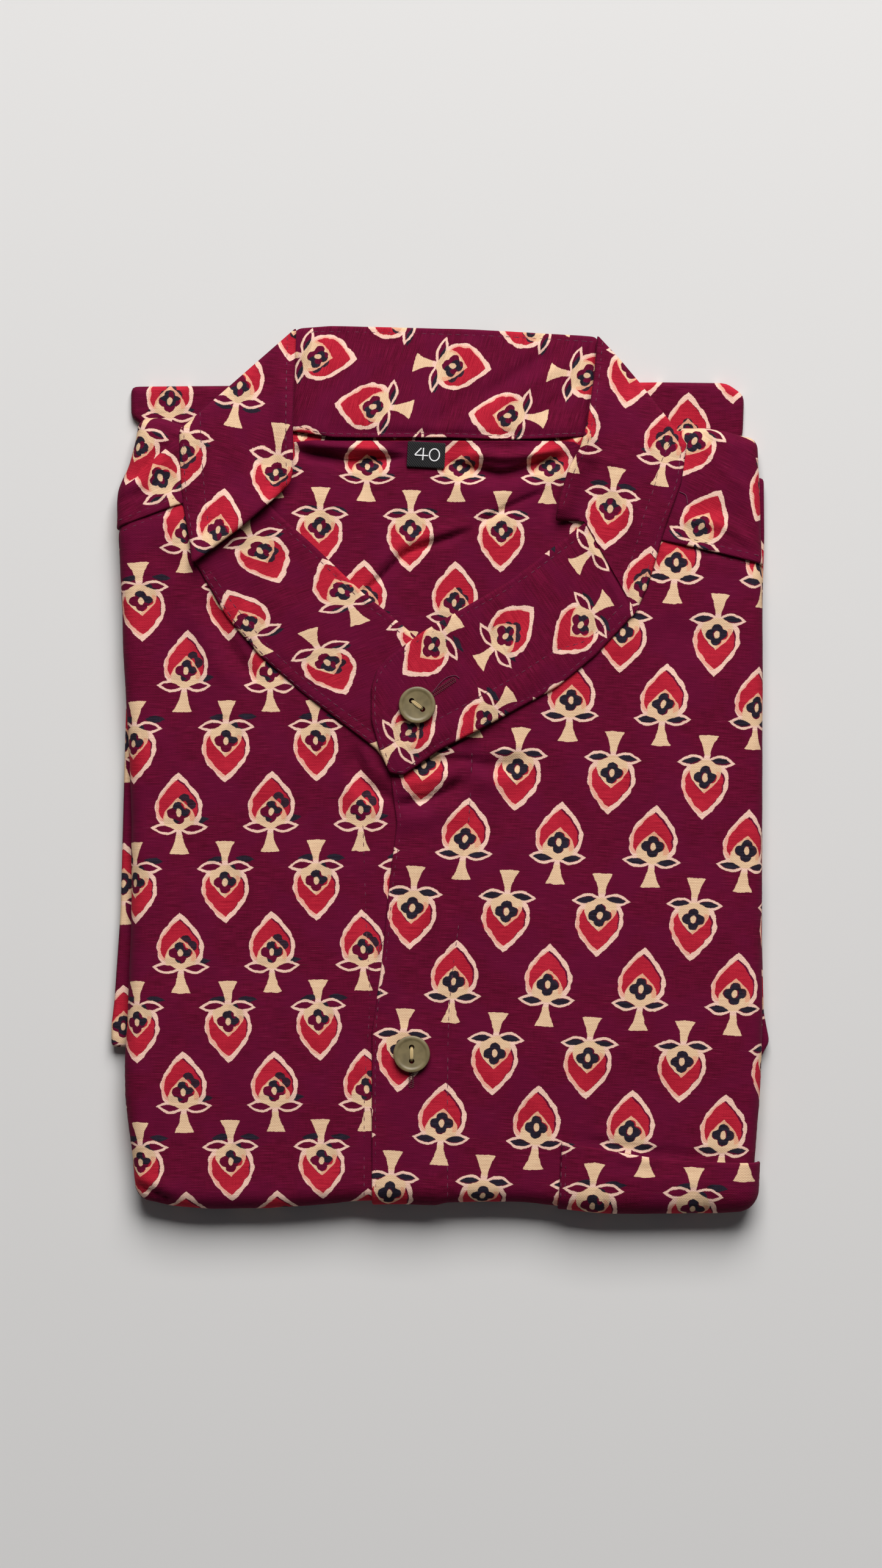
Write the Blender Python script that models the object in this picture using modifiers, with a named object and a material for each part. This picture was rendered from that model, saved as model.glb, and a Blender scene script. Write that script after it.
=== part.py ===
"""Folded kurta tunic, lying flat with its collar towards +Y and its fronts up.

Lengths in the tables and constants are millimetres, with X to the wearer's left,
Y towards the collar and Z up from the surface that the garment rests on. The cloth
of the fronts, yokes, placket and pocket is laid out flat and then rolled over the
packet's rounded side folds, so each outline below runs past the folds.
"""
import math
from collections import namedtuple

import bmesh
import bpy
from mathutils.geometry import delaunay_2d_cdt

# Units and walls
MM = 0.001
CLOTH_WALL = 1.0
BAND_WALL = 1.6
BAND_BACK_WALL = 1.2
SEAM_GAP = 0.3
SEAM_TUCK = 2.0
WRAP_ANGLE = math.radians(100.0)
FOLD_PITCH = 11.0
GRID_PITCH = 10.5
ROLL_ROWS = 4
CORNER_STEPS = 4

# Heights of what lies on the fronts, counted up from the fronts' outer face
SEWN_ON_TOP = SEAM_GAP + CLOTH_WALL
BAND_TOP = SEAM_GAP + BAND_WALL
CROSS_BOW = 0.6
HALF_WIDTH = 112.0

# Neck opening: the cloth behind it lies lower than the band around it
NECK_DIP = 1.4
NECK_CENTRE_X = -2.0
NECK_TIP_Y = 8.0
NECK_TOP_Y = 108.0
NECK_HALF_WIDTH = 62.0

# Side folds of the packet: where each runs, as a station along it and its place across
Station = namedtuple("Station", "along across")
LEFT_FOLD = [Station(*row) for row in (
    (-149.0, -106.6),
    (-137.0, -107.6),
    (-113.0, -110.4),
    (-85.0, -109.6),
    (-51.0, -108.0),
    (-1.5, -108.4),
    (28.0, -110.2),
    (77.0, -112.0),
    (96.0, -112.6),
    (107.0, -108.6),
    (124.0, -104.6),
)]
RIGHT_FOLD = [Station(*row) for row in (
    (-153.0, 109.6),
    (-135.0, 110.2),
    (-113.0, 111.6),
    (-83.0, 112.4),
    (72.0, 112.5),
    (92.0, 112.0),
    (119.0, 110.6),
)]
BOTTOM_FOLD = [Station(*row) for row in (
    (-107.0, -149.0),
    (-95.0, -151.9),
    (-80.0, -153.4),
    (-60.0, -153.4),
    (-25.0, -151.2),
    (25.0, -151.4),
    (42.0, -152.6),
    (62.0, -153.8),
    (94.0, -153.8),
    (110.0, -153.0),
)]
SHOULDER_FOLD = [Station(*row) for row in (
    (-106.0, 122.4),
    (-98.0, 122.8),
    (-91.0, 120.6),
    (-80.0, 118.6),
    (76.0, 118.4),
    (88.0, 119.0),
    (97.0, 118.4),
    (108.0, 115.6),
)]

# Height of the fronts and roll radius of the folds, by the distance along the garment
HEIGHT = [Station(*row) for row in (
    (-156.0, 15.0),
    (-100.0, 14.2),
    (-40.0, 13.2),
    (20.0, 12.6),
    (80.0, 11.6),
    (104.0, 10.8),
    (120.0, 9.6),
    (135.0, 7.6),
    (156.0, 4.9),
)]
ROLL_RADIUS = [Station(*row) for row in (
    (-156.0, 6.2),
    (0.0, 5.4),
    (124.0, 4.2),
)]

# Seams, as places on the laid-out garment
Place = namedtuple("Place", "x y")
NECKLINE_LEFT = [Place(*row) for row in (
    (-90.8, 124.0),
    (-90.8, 112.0),
    (-89.7, 93.6),
    (-87.1, 79.4),
    (-84.2, 70.2),
    (-74.4, 53.4),
    (-62.7, 39.8),
    (-48.4, 27.2),
    (-22.2, 7.2),
    (-17.1, 0.4),
)]
NECKLINE_RIGHT = [Place(*row) for row in (
    (86.2, 124.0),
    (85.2, 110.2),
    (83.7, 99.8),
    (78.4, 85.3),
    (72.0, 63.8),
    (68.0, 54.5),
    (53.7, 39.6),
    (40.3, 28.7),
    (13.1, 13.8),
    (-0.5, 7.0),
    (-12.7, -1.7),
)]
YOKE_SEAM_LEFT = (Place(-116.0, 84.0), Place(-92.5, 92.8), Place(-88.0, 94.0))
YOKE_SEAM_RIGHT = (Place(77.6, 81.0), Place(91.6, 77.5), Place(116.0, 71.5))
NECK_SEAM = [Place(*row) for row in (
    (-87.6, 118.0),
    (-51.6, 118.2),
    (-37.3, 115.8),
    (2.9, 115.8),
    (23.5, 115.0),
    (49.9, 116.0),
    (82.6, 114.6),
)]
FRONT_JOIN_X = -12.0
FRONT_TIP_Y = -1.6
BACK_TOP_Y = 113.6
BACK_TIP = [(-15.0, 5.6), (-10.0, 4.6)]

# Collar band
BAND_BACK_TOP = [Place(*row) for row in (
    (54.2, 151.5),
    (10.0, 154.0),
    (-38.6, 155.2),
    (-49.6, 154.3),
)]
BAND_FOLD_LEFT = [Place(*row) for row in ((-50.4, 154.6), (-91.2, 118.4))]
BAND_FOLD_RIGHT = [Place(*row) for row in (
    (86.2, 113.2),
    (80.3, 121.4),
    (69.2, 135.6),
    (62.6, 143.5),
    (55.0, 151.8),
)]
BAND_INNER_RIGHT = [Place(*row) for row in (
    (54.8, 151.2),
    (53.7, 137.9),
    (51.2, 121.1),
    (48.6, 111.9),
    (44.8, 105.3),
    (40.8, 92.4),
    (40.1, 86.6),
    (50.2, 86.4),
)]
BAND_INNER_LEFT_FOOT = (-51.0, 91.0)
BAND_OVERHANG = 0.4
BAND_FOLD_TUCK = 1.6
BAND_BACK_CORNER = (-88.2, 119.6)
BAND_MITRE_LEFT = (Place(-53.0, 88.5), Place(-86.5, 70.0))
BAND_MITRE_RIGHT = (Place(50.4, 86.0), Place(68.2, 54.6))
SLANT_UPPER_LEFT = [Place(*row) for row in (
    (-2.0, 40.5),
    (-17.8, 54.1),
    (-26.9, 61.3),
    (-45.0, 78.7),
    (-57.0, 89.4),
)]
SLANT_START = (-86.4, 73.4)
SLANT_END = [(-12.0, 3.6), (-4.6, 8.0)]
TAB_UPPER = [Place(*row) for row in ((24.6, 66.0), (6.3, 55.1), (-6.5, 47.7))]
TAB_END = [Place(*row) for row in (
    (-12.7, 43.0),
    (-18.6, 38.9),
    (-22.2, 34.6),
    (-24.2, 28.3),
    (-24.2, 17.0),
    (-21.4, 6.8),
    (-17.8, -1.4),
    (-12.9, -2.2),
)]
TAB_RISE = (8.0, 26.0)
SIDE_RISE = (6.5, 18.0)

# Placket and pocket
PLACKET_LEFT = [Station(*row) for row in (
    (-0.8, -17.6),
    (-19.0, -15.2),
    (-38.0, -17.6),
    (-68.0, -20.5),
    (-92.0, -23.9),
    (-170.0, -23.9),
)]
PLACKET_RIGHT = [Station(*row) for row in (
    (-170.0, 3.5),
    (-110.0, 3.5),
    (-80.0, 4.1),
    (-43.0, 8.6),
    (-13.0, 11.0),
    (11.6, 11.4),
)]
PLACKET_TOP = [(-0.5, 5.4), (-8.0, 0.3), (-12.0, -0.6)]
POCKET_TOP = [Place(*row) for row in (
    (105.7, -137.3),
    (90.8, -136.8),
    (75.9, -135.8),
    (62.5, -133.6),
    (42.4, -129.8),
)]
POCKET_LEFT_FOOT_X = 40.8
POCKET_SIDE_Y = -137.0

# Label, under the neck seam
LABEL_WIDTH = 13.2
LABEL_HEIGHT = 9.0
LABEL_CENTRE = Place(-5.0, 109.7)
LABEL_TURN = math.radians(-3.0)

# Buttons
BUTTON_RADIUS = 6.4
BUTTON_THICK = 2.3
BUTTON_RIM = 0.35
BUTTON_HOLE_RADIUS = 1.0
BUTTON_HOLE_SPACING = 4.8
BUTTON_SEAT = 0.4
BUTTON_SIDES = 26
UPPER_BUTTON = Place(-8.1, 22.3)
LOWER_BUTTON = Place(-10.0, -99.2)
UPPER_HOLES_TURN = math.radians(-35.0)
LOWER_HOLES_TURN = math.radians(90.0)

# Hidden layers: lips of folded cloth around the packet's edge, under the fronts' rolled folds
LIP_COUNT = 3
LIP_INSET = 0.7
GROOVE_INSET = 2.0
UNDER_FOLD_INSET = 1.7
SLEEVE_LAYER = (2.6, 5.4)
SLEEVE_SLOT_DEPTH = 9.0
LEFT_SLOT = (-108.0, 36.0)
RIGHT_SLOT = (-112.0, 112.0)
SLEEVE_LEFT_EDGE = [Place(*row) for row in (
    (-110.0, 24.0),
    (-110.8, -5.0),
    (-112.0, -50.0),
    (-114.2, -81.5),
    (-115.2, -90.0),
    (-115.2, -97.2),
)]
SLEEVE_RIGHT_EDGE = [Place(*row) for row in (
    (111.6, -102.0),
    (115.2, -95.4),
    (113.2, -85.0),
    (112.6, -60.0),
    (112.8, 60.0),
    (113.4, 82.0),
    (113.2, 102.0),
)]
SLEEVE_TUCK = 6.5
STACK_ROLL = tuple(math.radians(angle) for angle in (90.0, 60.0, 30.0, 8.0))
TAIL_TOP = 4.2
TAIL_EDGE = [Place(*row) for row in (
    (106.0, 118.0),
    (106.4, 131.0),
    (100.3, 135.3),
    (78.0, 135.6),
    (-108.4, 134.1),
    (-108.4, 123.2),
)]

# Colours, as the Principled shader takes them
BURGUNDY = (0.105, 0.008, 0.035, 1.0)
BURGUNDY_DEEP = (0.070, 0.006, 0.026, 1.0)
BURGUNDY_LIGHT = (0.140, 0.012, 0.048, 1.0)
LABEL_BLACK = (0.010, 0.010, 0.012, 1.0)
HORN_OLIVE = (0.230, 0.190, 0.115, 1.0)


def smoothstep(low, high, value):
    """0 below low, 1 above high, and an even ease between them."""
    t = min(max((value - low) / (high - low), 0.0), 1.0)
    return t * t * (3.0 - 2.0 * t)


def read_table(table, along):
    """The smooth curve through a table's stations, held level past its ends."""
    rows = sorted(table)
    if along <= rows[0].along:
        return rows[0].across
    if along >= rows[-1].along:
        return rows[-1].across
    i = max(k for k, row in enumerate(rows[:-1]) if row.along <= along)
    before, after = rows[i], rows[i + 1]
    span = after.along - before.along
    chord = (after.across - before.across) / span

    def slope(k):
        if k == 0 or k == len(rows) - 1:
            return chord
        return (rows[k + 1].across - rows[k - 1].across) / (rows[k + 1].along - rows[k - 1].along)

    t = (along - before.along) / span
    start_term = (1 + 2 * t) * (1 - t) ** 2 * before.across + t * (1 - t) ** 2 * span * slope(i)
    end_term = t * t * (3 - 2 * t) * after.across + t * t * (t - 1) * span * slope(i + 1)
    return start_term + end_term


def neck_dip(x, y):
    """How far the cloth behind the neck opening lies below the fronts."""
    reach = smoothstep(NECK_TIP_Y, NECK_TOP_Y, y) ** 0.5 * NECK_HALF_WIDTH
    if reach < 1.0:
        return 0.0
    inside = 1.0 - abs(x - NECK_CENTRE_X) / reach
    return NECK_DIP * smoothstep(0.0, 0.6, inside)


def plain_height(x, y):
    """The fronts' outer face away from the folds, with no neck opening."""
    return read_table(HEIGHT, y) - CROSS_BOW * (x / HALF_WIDTH) ** 2


def roll_radius(y):
    return read_table(ROLL_RADIUS, y)


def fold_frame(side, along):
    """Where one side's fold starts to roll, the way out, and the roll's radius."""
    if side in ("left", "right"):
        radius = roll_radius(along)
        if side == "left":
            return (read_table(LEFT_FOLD, along) + radius, along), (-1.0, 0.0), radius
        return (read_table(RIGHT_FOLD, along) - radius, along), (1.0, 0.0), radius
    if side == "bottom":
        fold = read_table(BOTTOM_FOLD, along)
        radius = roll_radius(fold)
        return (along, fold + radius), (0.0, -1.0), radius
    fold = read_table(SHOULDER_FOLD, along)
    radius = roll_radius(fold)
    return (along, fold - radius), (0.0, 1.0), radius


def corner_centre(side, level):
    """The point where the rolls of two neighbouring folds start."""
    x = -100.0 if side == "left" else 100.0
    y = -145.0 if level == "bottom" else 115.0
    for _ in range(4):
        x = fold_frame(side, y)[0][0]
        y = fold_frame(level, x)[0][1]
    return x, y


CORNERS = {(side, level): corner_centre(side, level)
           for side in ("left", "right") for level in ("bottom", "top")}


def past_folds(x, y):
    """How far a place on the laid-out cloth lies past the start of the folds, in X and Y."""
    side = "left" if x < 0.0 else "right"
    level = "bottom" if y < 0.0 else "top"
    held_y = min(max(y, CORNERS[side, "bottom"][1]), CORNERS[side, "top"][1])
    held_x = min(max(x, CORNERS["left", level][0]), CORNERS["right", level][0])
    start_x = fold_frame(side, held_y)[0][0]
    start_y = fold_frame(level, held_x)[0][1]
    past_x = min(0.0, x - start_x) if side == "left" else max(0.0, x - start_x)
    past_y = min(0.0, y - start_y) if level == "bottom" else max(0.0, y - start_y)
    return past_x, past_y


def cloth_point(x, y, lift):
    """Where a place on the laid-out cloth goes once the folds are rolled, lift above the fronts."""
    past_x, past_y = past_folds(x, y)
    base_x, base_y = x - past_x, y - past_y
    height = plain_height(base_x, base_y) - neck_dip(base_x, base_y)
    past = math.hypot(past_x, past_y)
    if past < 1e-6:
        return (x, y, height + lift)
    radius = roll_radius(base_y)
    angle = past / radius
    reach = (radius + lift) * math.sin(angle)
    rise = (radius + lift) * math.cos(angle) - radius
    return (base_x + past_x / past * reach, base_y + past_y / past * reach, height + rise)


def band_point(x, y, lift):
    """A place on the collar band, which bridges the neck opening and stands out past the shoulders."""
    return (x, y, plain_height(x, y) + lift)


def steps(start, stop, pitch):
    count = max(1, round(abs(stop - start) / pitch))
    return [start + (stop - start) * k / count for k in range(count + 1)]


def packet_loop():
    """Frames right round the packet, counter-clockwise from the bottom left corner."""
    bottom_left, bottom_right = CORNERS["left", "bottom"], CORNERS["right", "bottom"]
    top_left, top_right = CORNERS["left", "top"], CORNERS["right", "top"]
    sides = (
        ("bottom", bottom_left[0], bottom_right[0], bottom_right, -90.0),
        ("right", bottom_right[1], top_right[1], top_right, 0.0),
        ("top", top_right[0], top_left[0], top_left, 90.0),
        ("left", top_left[1], bottom_left[1], bottom_left, 180.0),
    )
    loop = []
    for side, start, stop, centre, first_angle in sides:
        loop += [fold_frame(side, along) for along in steps(start, stop, FOLD_PITCH)]
        for k in range(1, CORNER_STEPS):
            angle = math.radians(first_angle + 90.0 * k / CORNER_STEPS)
            loop.append((centre, (math.cos(angle), math.sin(angle)), roll_radius(centre[1])))
    return loop


def laid_out(frame, past):
    """A place on the laid-out cloth, a given way past the start of its fold."""
    base, out, _ = frame
    return (base[0] + out[0] * past, base[1] + out[1] * past)


def hem_place(side, along):
    """The laid-out cloth's own edge, under one side's fold."""
    frame = fold_frame(side, along)
    return laid_out(frame, WRAP_ANGLE * frame[2])


def hem_run(first, last):
    """The laid-out cloth's edge between two places on it, counter-clockwise."""
    edge = [laid_out(frame, WRAP_ANGLE * frame[2]) for frame in packet_loop()]

    def nearest(place):
        return min(range(len(edge)), key=lambda k: math.dist(edge[k], place))

    begin, end = nearest(first), nearest(last)
    if end <= begin:
        end += len(edge)
    between = [edge[k % len(edge)] for k in range(begin + 1, end)]
    return [first] + between + [last]


def shifted(line, distance):
    """A line of places moved sideways, to its left as it runs."""
    moved = []
    for k, place in enumerate(line):
        before = line[max(k - 1, 0)]
        after = line[min(k + 1, len(line) - 1)]
        run_x, run_y = after[0] - before[0], after[1] - before[1]
        length = math.hypot(run_x, run_y)
        moved.append((place[0] - run_y / length * distance, place[1] + run_x / length * distance))
    return moved


def clip_above(line, level):
    """The part of a falling line of places below a level, starting on it."""
    kept = []
    for before, after in zip(line, line[1:]):
        if before[1] > level >= after[1]:
            t = (before[1] - level) / (before[1] - after[1])
            kept.append((before[0] + (after[0] - before[0]) * t, level))
        if after[1] < level:
            kept.append(tuple(after))
    return kept


def inside(outline, place):
    x, y = place
    hit = False
    for (x0, y0), (x1, y1) in zip(outline, outline[1:] + outline[:1]):
        if (y0 > y) != (y1 > y) and x < (x1 - x0) * (y - y0) / (y1 - y0) + x0:
            hit = not hit
    return hit


def edge_distance(outline, place):
    nearest = 1e9
    for (x0, y0), (x1, y1) in zip(outline, outline[1:] + outline[:1]):
        run_x, run_y = x1 - x0, y1 - y0
        length_2 = run_x * run_x + run_y * run_y
        t = ((place[0] - x0) * run_x + (place[1] - y0) * run_y) / max(length_2, 1e-9)
        t = min(max(t, 0.0), 1.0)
        nearest = min(nearest, math.hypot(place[0] - x0 - run_x * t, place[1] - y0 - run_y * t))
    return nearest


def on_fold(place):
    past_x, past_y = past_folds(*place)
    return math.hypot(past_x, past_y) > 0.01


def past_length(place):
    return math.hypot(*past_folds(*place))


def between(start, end, share):
    return (start[0] + (end[0] - start[0]) * share, start[1] + (end[1] - start[1]) * share)


def row_crossings(start, end):
    """Where a side that runs out over a fold crosses the fold's rows, as shares along it and rows."""
    found = []
    samples = 200
    lengths = []
    for k in range(samples + 1):
        place = between(start, end, k / samples)
        radius = roll_radius(place[1] - past_folds(*place)[1])
        lengths.append(past_length(place) / (WRAP_ANGLE * radius) * ROLL_ROWS)
    for k, (low, high) in enumerate(zip(lengths, lengths[1:])):
        for row in range(ROLL_ROWS):
            level = max(row, 0.02)
            if (low - level) * (high - level) < 0:
                found.append(((k + (level - low) / (high - low)) / samples, row))
    return found


def divided(outline, rolled):
    """An outline with its sides cut short enough for the surface, and the fold rows it meets."""
    points = []
    rows = {}
    for start, end in zip(outline, outline[1:] + outline[:1]):
        crossings = row_crossings(start, end) if rolled else []
        if crossings:
            shares = [0.0] + [share for share, _ in crossings]
            tags = [None] + [row for _, row in crossings]
            if not on_fold(start) and shares[1] * math.dist(start, end) > FOLD_PITCH * 1.3:
                count = math.ceil(shares[1] * math.dist(start, end) / FOLD_PITCH - 0.2)
                extra = [shares[1] * k / count for k in range(1, count)]
                shares[1:1] = extra
                tags[1:1] = [None] * len(extra)
            last = shares[-1]
            if not on_fold(end) and (1.0 - last) * math.dist(start, end) > FOLD_PITCH * 1.3:
                count = math.ceil((1.0 - last) * math.dist(start, end) / FOLD_PITCH - 0.2)
                extra = [last + (1.0 - last) * k / count for k in range(1, count)]
                shares += extra
                tags += [None] * len(extra)
        else:
            count = max(1, math.ceil(math.dist(start, end) / FOLD_PITCH - 0.2))
            shares = [k / count for k in range(count)]
            tags = [None] * count
        for share, tag in zip(shares, tags):
            if tag is not None:
                rows.setdefault(tag, []).append(len(points))
            points.append(between(start, end, share))
    return points, rows


def grid_places():
    """An even grid of places over the whole packet and the band."""
    places = []
    row_pitch = GRID_PITCH * 0.866
    for j, y in enumerate(steps(-156.0, 156.0, row_pitch)):
        shift = GRID_PITCH / 2 if j % 2 else 0.0
        places += [(x + shift, y) for x in steps(-117.0, 117.0, GRID_PITCH)]
    return places


def far_from_folds(place):
    """True where a grid place keeps off the first row of the folds."""
    margin = GRID_PITCH * 0.45
    around = ((margin, 0), (-margin, 0), (0, margin), (0, -margin))
    return not any(on_fold((place[0] + dx, place[1] + dy)) for dx, dy in around)


def fold_rows(border, first_index):
    """Places along the folds inside a piece, and the edges that hold each row together."""
    places = []
    edges = []
    rows = {row: [] for row in range(ROLL_ROWS)}
    loop = packet_loop()
    for row in range(ROLL_ROWS):
        previous = None
        for order, frame in enumerate(loop + loop[:1]):
            reach = WRAP_ANGLE * frame[2] * max(row, 0.02) / ROLL_ROWS
            place = laid_out(frame, reach)
            if not inside(border, place) or edge_distance(border, place) < 1.1:
                previous = None
                continue
            if order == len(loop):
                break
            places.append(place)
            index = first_index + len(places) - 1
            rows[row].append((index, place))
            if previous is not None:
                edges.append((previous, index))
            previous = index
    return places, edges, rows


def triangulated(outline, rolled):
    """Flat triangles inside an outline, as places and index triples."""
    border, border_rows = divided(outline, rolled)
    kept = []
    edges = []
    if rolled:
        kept, edges, rows = fold_rows(border, len(border))
        for row, indices in border_rows.items():
            for index in indices:
                others = [(math.dist(border[index], place), k) for k, place in rows[row]]
                others += [(math.dist(border[index], border[k]) + 0.01, k) for k in indices if k != index]
                distance, other = min(others, default=(1e9, None))
                if distance < FOLD_PITCH * 1.6:
                    edges.append((index, other))
    for place in grid_places():
        if rolled and (on_fold(place) or not far_from_folds(place)):
            continue
        if inside(border, place) and edge_distance(border, place) > GRID_PITCH * 0.4:
            kept.append(place)
    places, _, faces, _, _, _ = delaunay_2d_cdt(
        border + kept, edges, [list(range(len(border)))], 1, 1e-5)
    return [(p[0], p[1]) for p in places], faces


def new_material(name, colour, roughness):
    material = bpy.data.materials.new(name)
    material.use_nodes = True
    shader = material.node_tree.nodes["Principled BSDF"]
    shader.inputs["Base Color"].default_value = colour
    shader.inputs["Roughness"].default_value = roughness
    shader.inputs["Metallic"].default_value = 0.0
    return material


def new_object(name, mesh, collection, colour, roughness=0.85):
    made = bpy.data.objects.new(name, mesh)
    mesh.materials.append(new_material(name + "_finish", colour, roughness))
    collection.objects.link(made)
    return made


def cloth_piece(name, collection, outline, surface, lift, wall, colour, rolled=True):
    """One cut of cloth: its outline, filled, laid on a surface and given a wall under that face."""
    places, faces = triangulated([tuple(p) for p in outline], rolled)
    lifts = lift if callable(lift) else (lambda x, y: lift)
    points = [surface(x, y, lifts(x, y)) for x, y in places]
    mesh = bpy.data.meshes.new(name)
    mesh.from_pydata([tuple(c * MM for c in point) for point in points], [], faces)
    shape = bmesh.new()
    shape.from_mesh(mesh)
    bmesh.ops.recalc_face_normals(shape, faces=shape.faces)
    if sum(face.normal.z for face in shape.faces) < 0:
        bmesh.ops.reverse_faces(shape, faces=shape.faces)
    shape.to_mesh(mesh)
    shape.free()
    piece = new_object(name, mesh, collection, colour)
    solidify = piece.modifiers.new("wall", "SOLIDIFY")
    solidify.thickness = wall * MM
    solidify.offset = -1.0
    solidify.use_even_offset = True
    mesh.shade_smooth()
    return piece


def lofted(name, collection, rings, top_places, colour):
    """A closed solid from rings of equal count, flat below and filled to inner points above."""
    shape = bmesh.new()
    ring_verts = [[shape.verts.new([c * MM for c in point]) for point in ring] for ring in rings]
    for lower, upper in zip(ring_verts, ring_verts[1:]):
        for k in range(len(lower)):
            n = (k + 1) % len(lower)
            shape.faces.new((lower[k], lower[n], upper[n], upper[k]))
    shape.faces.new(reversed(ring_verts[0]))
    border = [(point[0], point[1]) for point in rings[-1]]
    places, _, faces, origin, _, _ = delaunay_2d_cdt(
        border + [(p[0], p[1]) for p in top_places], [], [list(range(len(border)))], 1, 1e-6)
    top_verts = []
    for place, sources in zip(places, origin):
        source = min(sources)
        if source < len(border):
            top_verts.append(ring_verts[-1][source])
        else:
            top_verts.append(shape.verts.new([c * MM for c in top_places[source - len(border)]]))
    for face in faces:
        shape.faces.new([top_verts[k] for k in face])
    bmesh.ops.triangulate(shape, faces=shape.faces)
    bmesh.ops.recalc_face_normals(shape, faces=shape.faces)
    mesh = bpy.data.meshes.new(name)
    shape.to_mesh(mesh)
    shape.free()
    return new_object(name, mesh, collection, colour)


def slot_depth(base, out):
    """How deep the sleeve layer's slot goes in at one place round the packet."""
    reach = {-1: LEFT_SLOT, 1: RIGHT_SLOT}.get(round(out[0]) if abs(out[1]) < 0.01 else 0)
    if reach is None or not reach[0] < base[1] < reach[1]:
        return 0.0
    return SLEEVE_SLOT_DEPTH


def folded_stack(collection):
    """The hidden layers in one solid: layered lips below, and a rolled edge under the fronts."""
    loop = packet_loop()
    under = -(CLOTH_WALL + SEAM_GAP)
    low, high = SLEEVE_LAYER
    slot_rings = ((low - 0.15, 0.9, 0.0), (low, 1.0, 1.0), (high, UNDER_FOLD_INSET, 1.0),
                  (high + 0.15, UNDER_FOLD_INSET, 0.0))
    lip = low / (LIP_COUNT - 1)
    rings = []
    for k in range(LIP_COUNT - 1):
        for share, inset in ((0.0, GROOVE_INSET), (0.3, LIP_INSET), (0.7, LIP_INSET)):
            if k or share:
                rings.append((lip * (k + share), inset, 0.0))
            else:
                rings.append((0.0, LIP_INSET + 0.6, 0.0))
    rings = rings[:-1] + [(slot_rings[0][0] - 0.2, LIP_INSET, 0.0)]
    rings += slot_rings

    def lip_ring(z, inset, slot):
        ring = []
        for base, out, radius in loop:
            reach = radius - inset - slot * slot_depth(base, out)
            ring.append((base[0] + out[0] * reach, base[1] + out[1] * reach, z))
        return ring

    solid_rings = [lip_ring(*row) for row in rings]
    for angle in STACK_ROLL:
        solid_rings.append([cloth_point(*laid_out(frame, angle * frame[2]), under) for frame in loop])
    top_border = [(point[0], point[1]) for point in solid_rings[-1]]
    top_places = [cloth_point(*place, under) for place in grid_places()
                  if inside(top_border, place) and edge_distance(top_border, place) > GRID_PITCH * 0.45]
    return lofted("folded_stack", collection, solid_rings, top_places, BURGUNDY_DEEP)


def slab(name, collection, outline, low, high, colour, soften=0.5):
    """A layer of folded cloth lying level: its outline, thinned at both rims like a soft fold."""
    border, _ = divided(outline, False)
    area = sum(a[0] * b[1] - b[0] * a[1] for a, b in zip(border, border[1:] + border[:1]))
    if area < 0:
        border = border[::-1]
    thin = shifted_loop(border, soften)
    middle = (low + high) / 2
    rows = ((low, thin), (middle - soften * 0.6, border), (middle + soften * 0.6, border), (high, thin))
    rings = [[(x, y, z) for x, y in ring] for z, ring in rows]
    return lofted(name, collection, rings, [], colour)


def shifted_loop(loop, distance):
    """A closed counter-clockwise outline moved inwards."""
    moved = []
    for k, place in enumerate(loop):
        before, after = loop[k - 1], loop[(k + 1) % len(loop)]
        in_x, in_y = place[0] - before[0], place[1] - before[1]
        out_x, out_y = after[0] - place[0], after[1] - place[1]
        n1 = math.hypot(in_x, in_y)
        n2 = math.hypot(out_x, out_y)
        normal_x = -(in_y / n1 + out_y / n2)
        normal_y = in_x / n1 + out_x / n2
        size_2 = normal_x ** 2 + normal_y ** 2
        scale = 2.0 * distance / max(size_2, 1.0)
        moved.append((place[0] + normal_x * scale, place[1] + normal_y * scale))
    return moved


def sleeves(collection):
    """The folded sleeves' edges, which show past the packet's side folds."""
    inner_left = [(read_table(LEFT_FOLD, p.y) + SLEEVE_TUCK, p.y) for p in reversed(SLEEVE_LEFT_EDGE)]
    inner_right = [(read_table(RIGHT_FOLD, p.y) - SLEEVE_TUCK, p.y) for p in reversed(SLEEVE_RIGHT_EDGE)]
    low, high = SLEEVE_LAYER[0] + SEAM_GAP, SLEEVE_LAYER[1] - SEAM_GAP
    slab("sleeve_left", collection, [tuple(p) for p in SLEEVE_LEFT_EDGE] + inner_left, low, high, BURGUNDY)
    slab("sleeve_right", collection, [tuple(p) for p in SLEEVE_RIGHT_EDGE] + inner_right, low, high, BURGUNDY)


def tail_fold(collection):
    """The body's tail, folded up behind: its straight fold shows past the shoulders."""
    clearance = SEAM_GAP - LIP_INSET + 0.4
    inner = [(x, read_table(SHOULDER_FOLD, x) + clearance) for x in steps(-103.0, 105.0, FOLD_PITCH)]
    outline = [tuple(p) for p in TAIL_EDGE] + inner
    slab("tail_fold", collection, outline, 0.0, TAIL_TOP, BURGUNDY_DEEP, soften=0.8)


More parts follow.
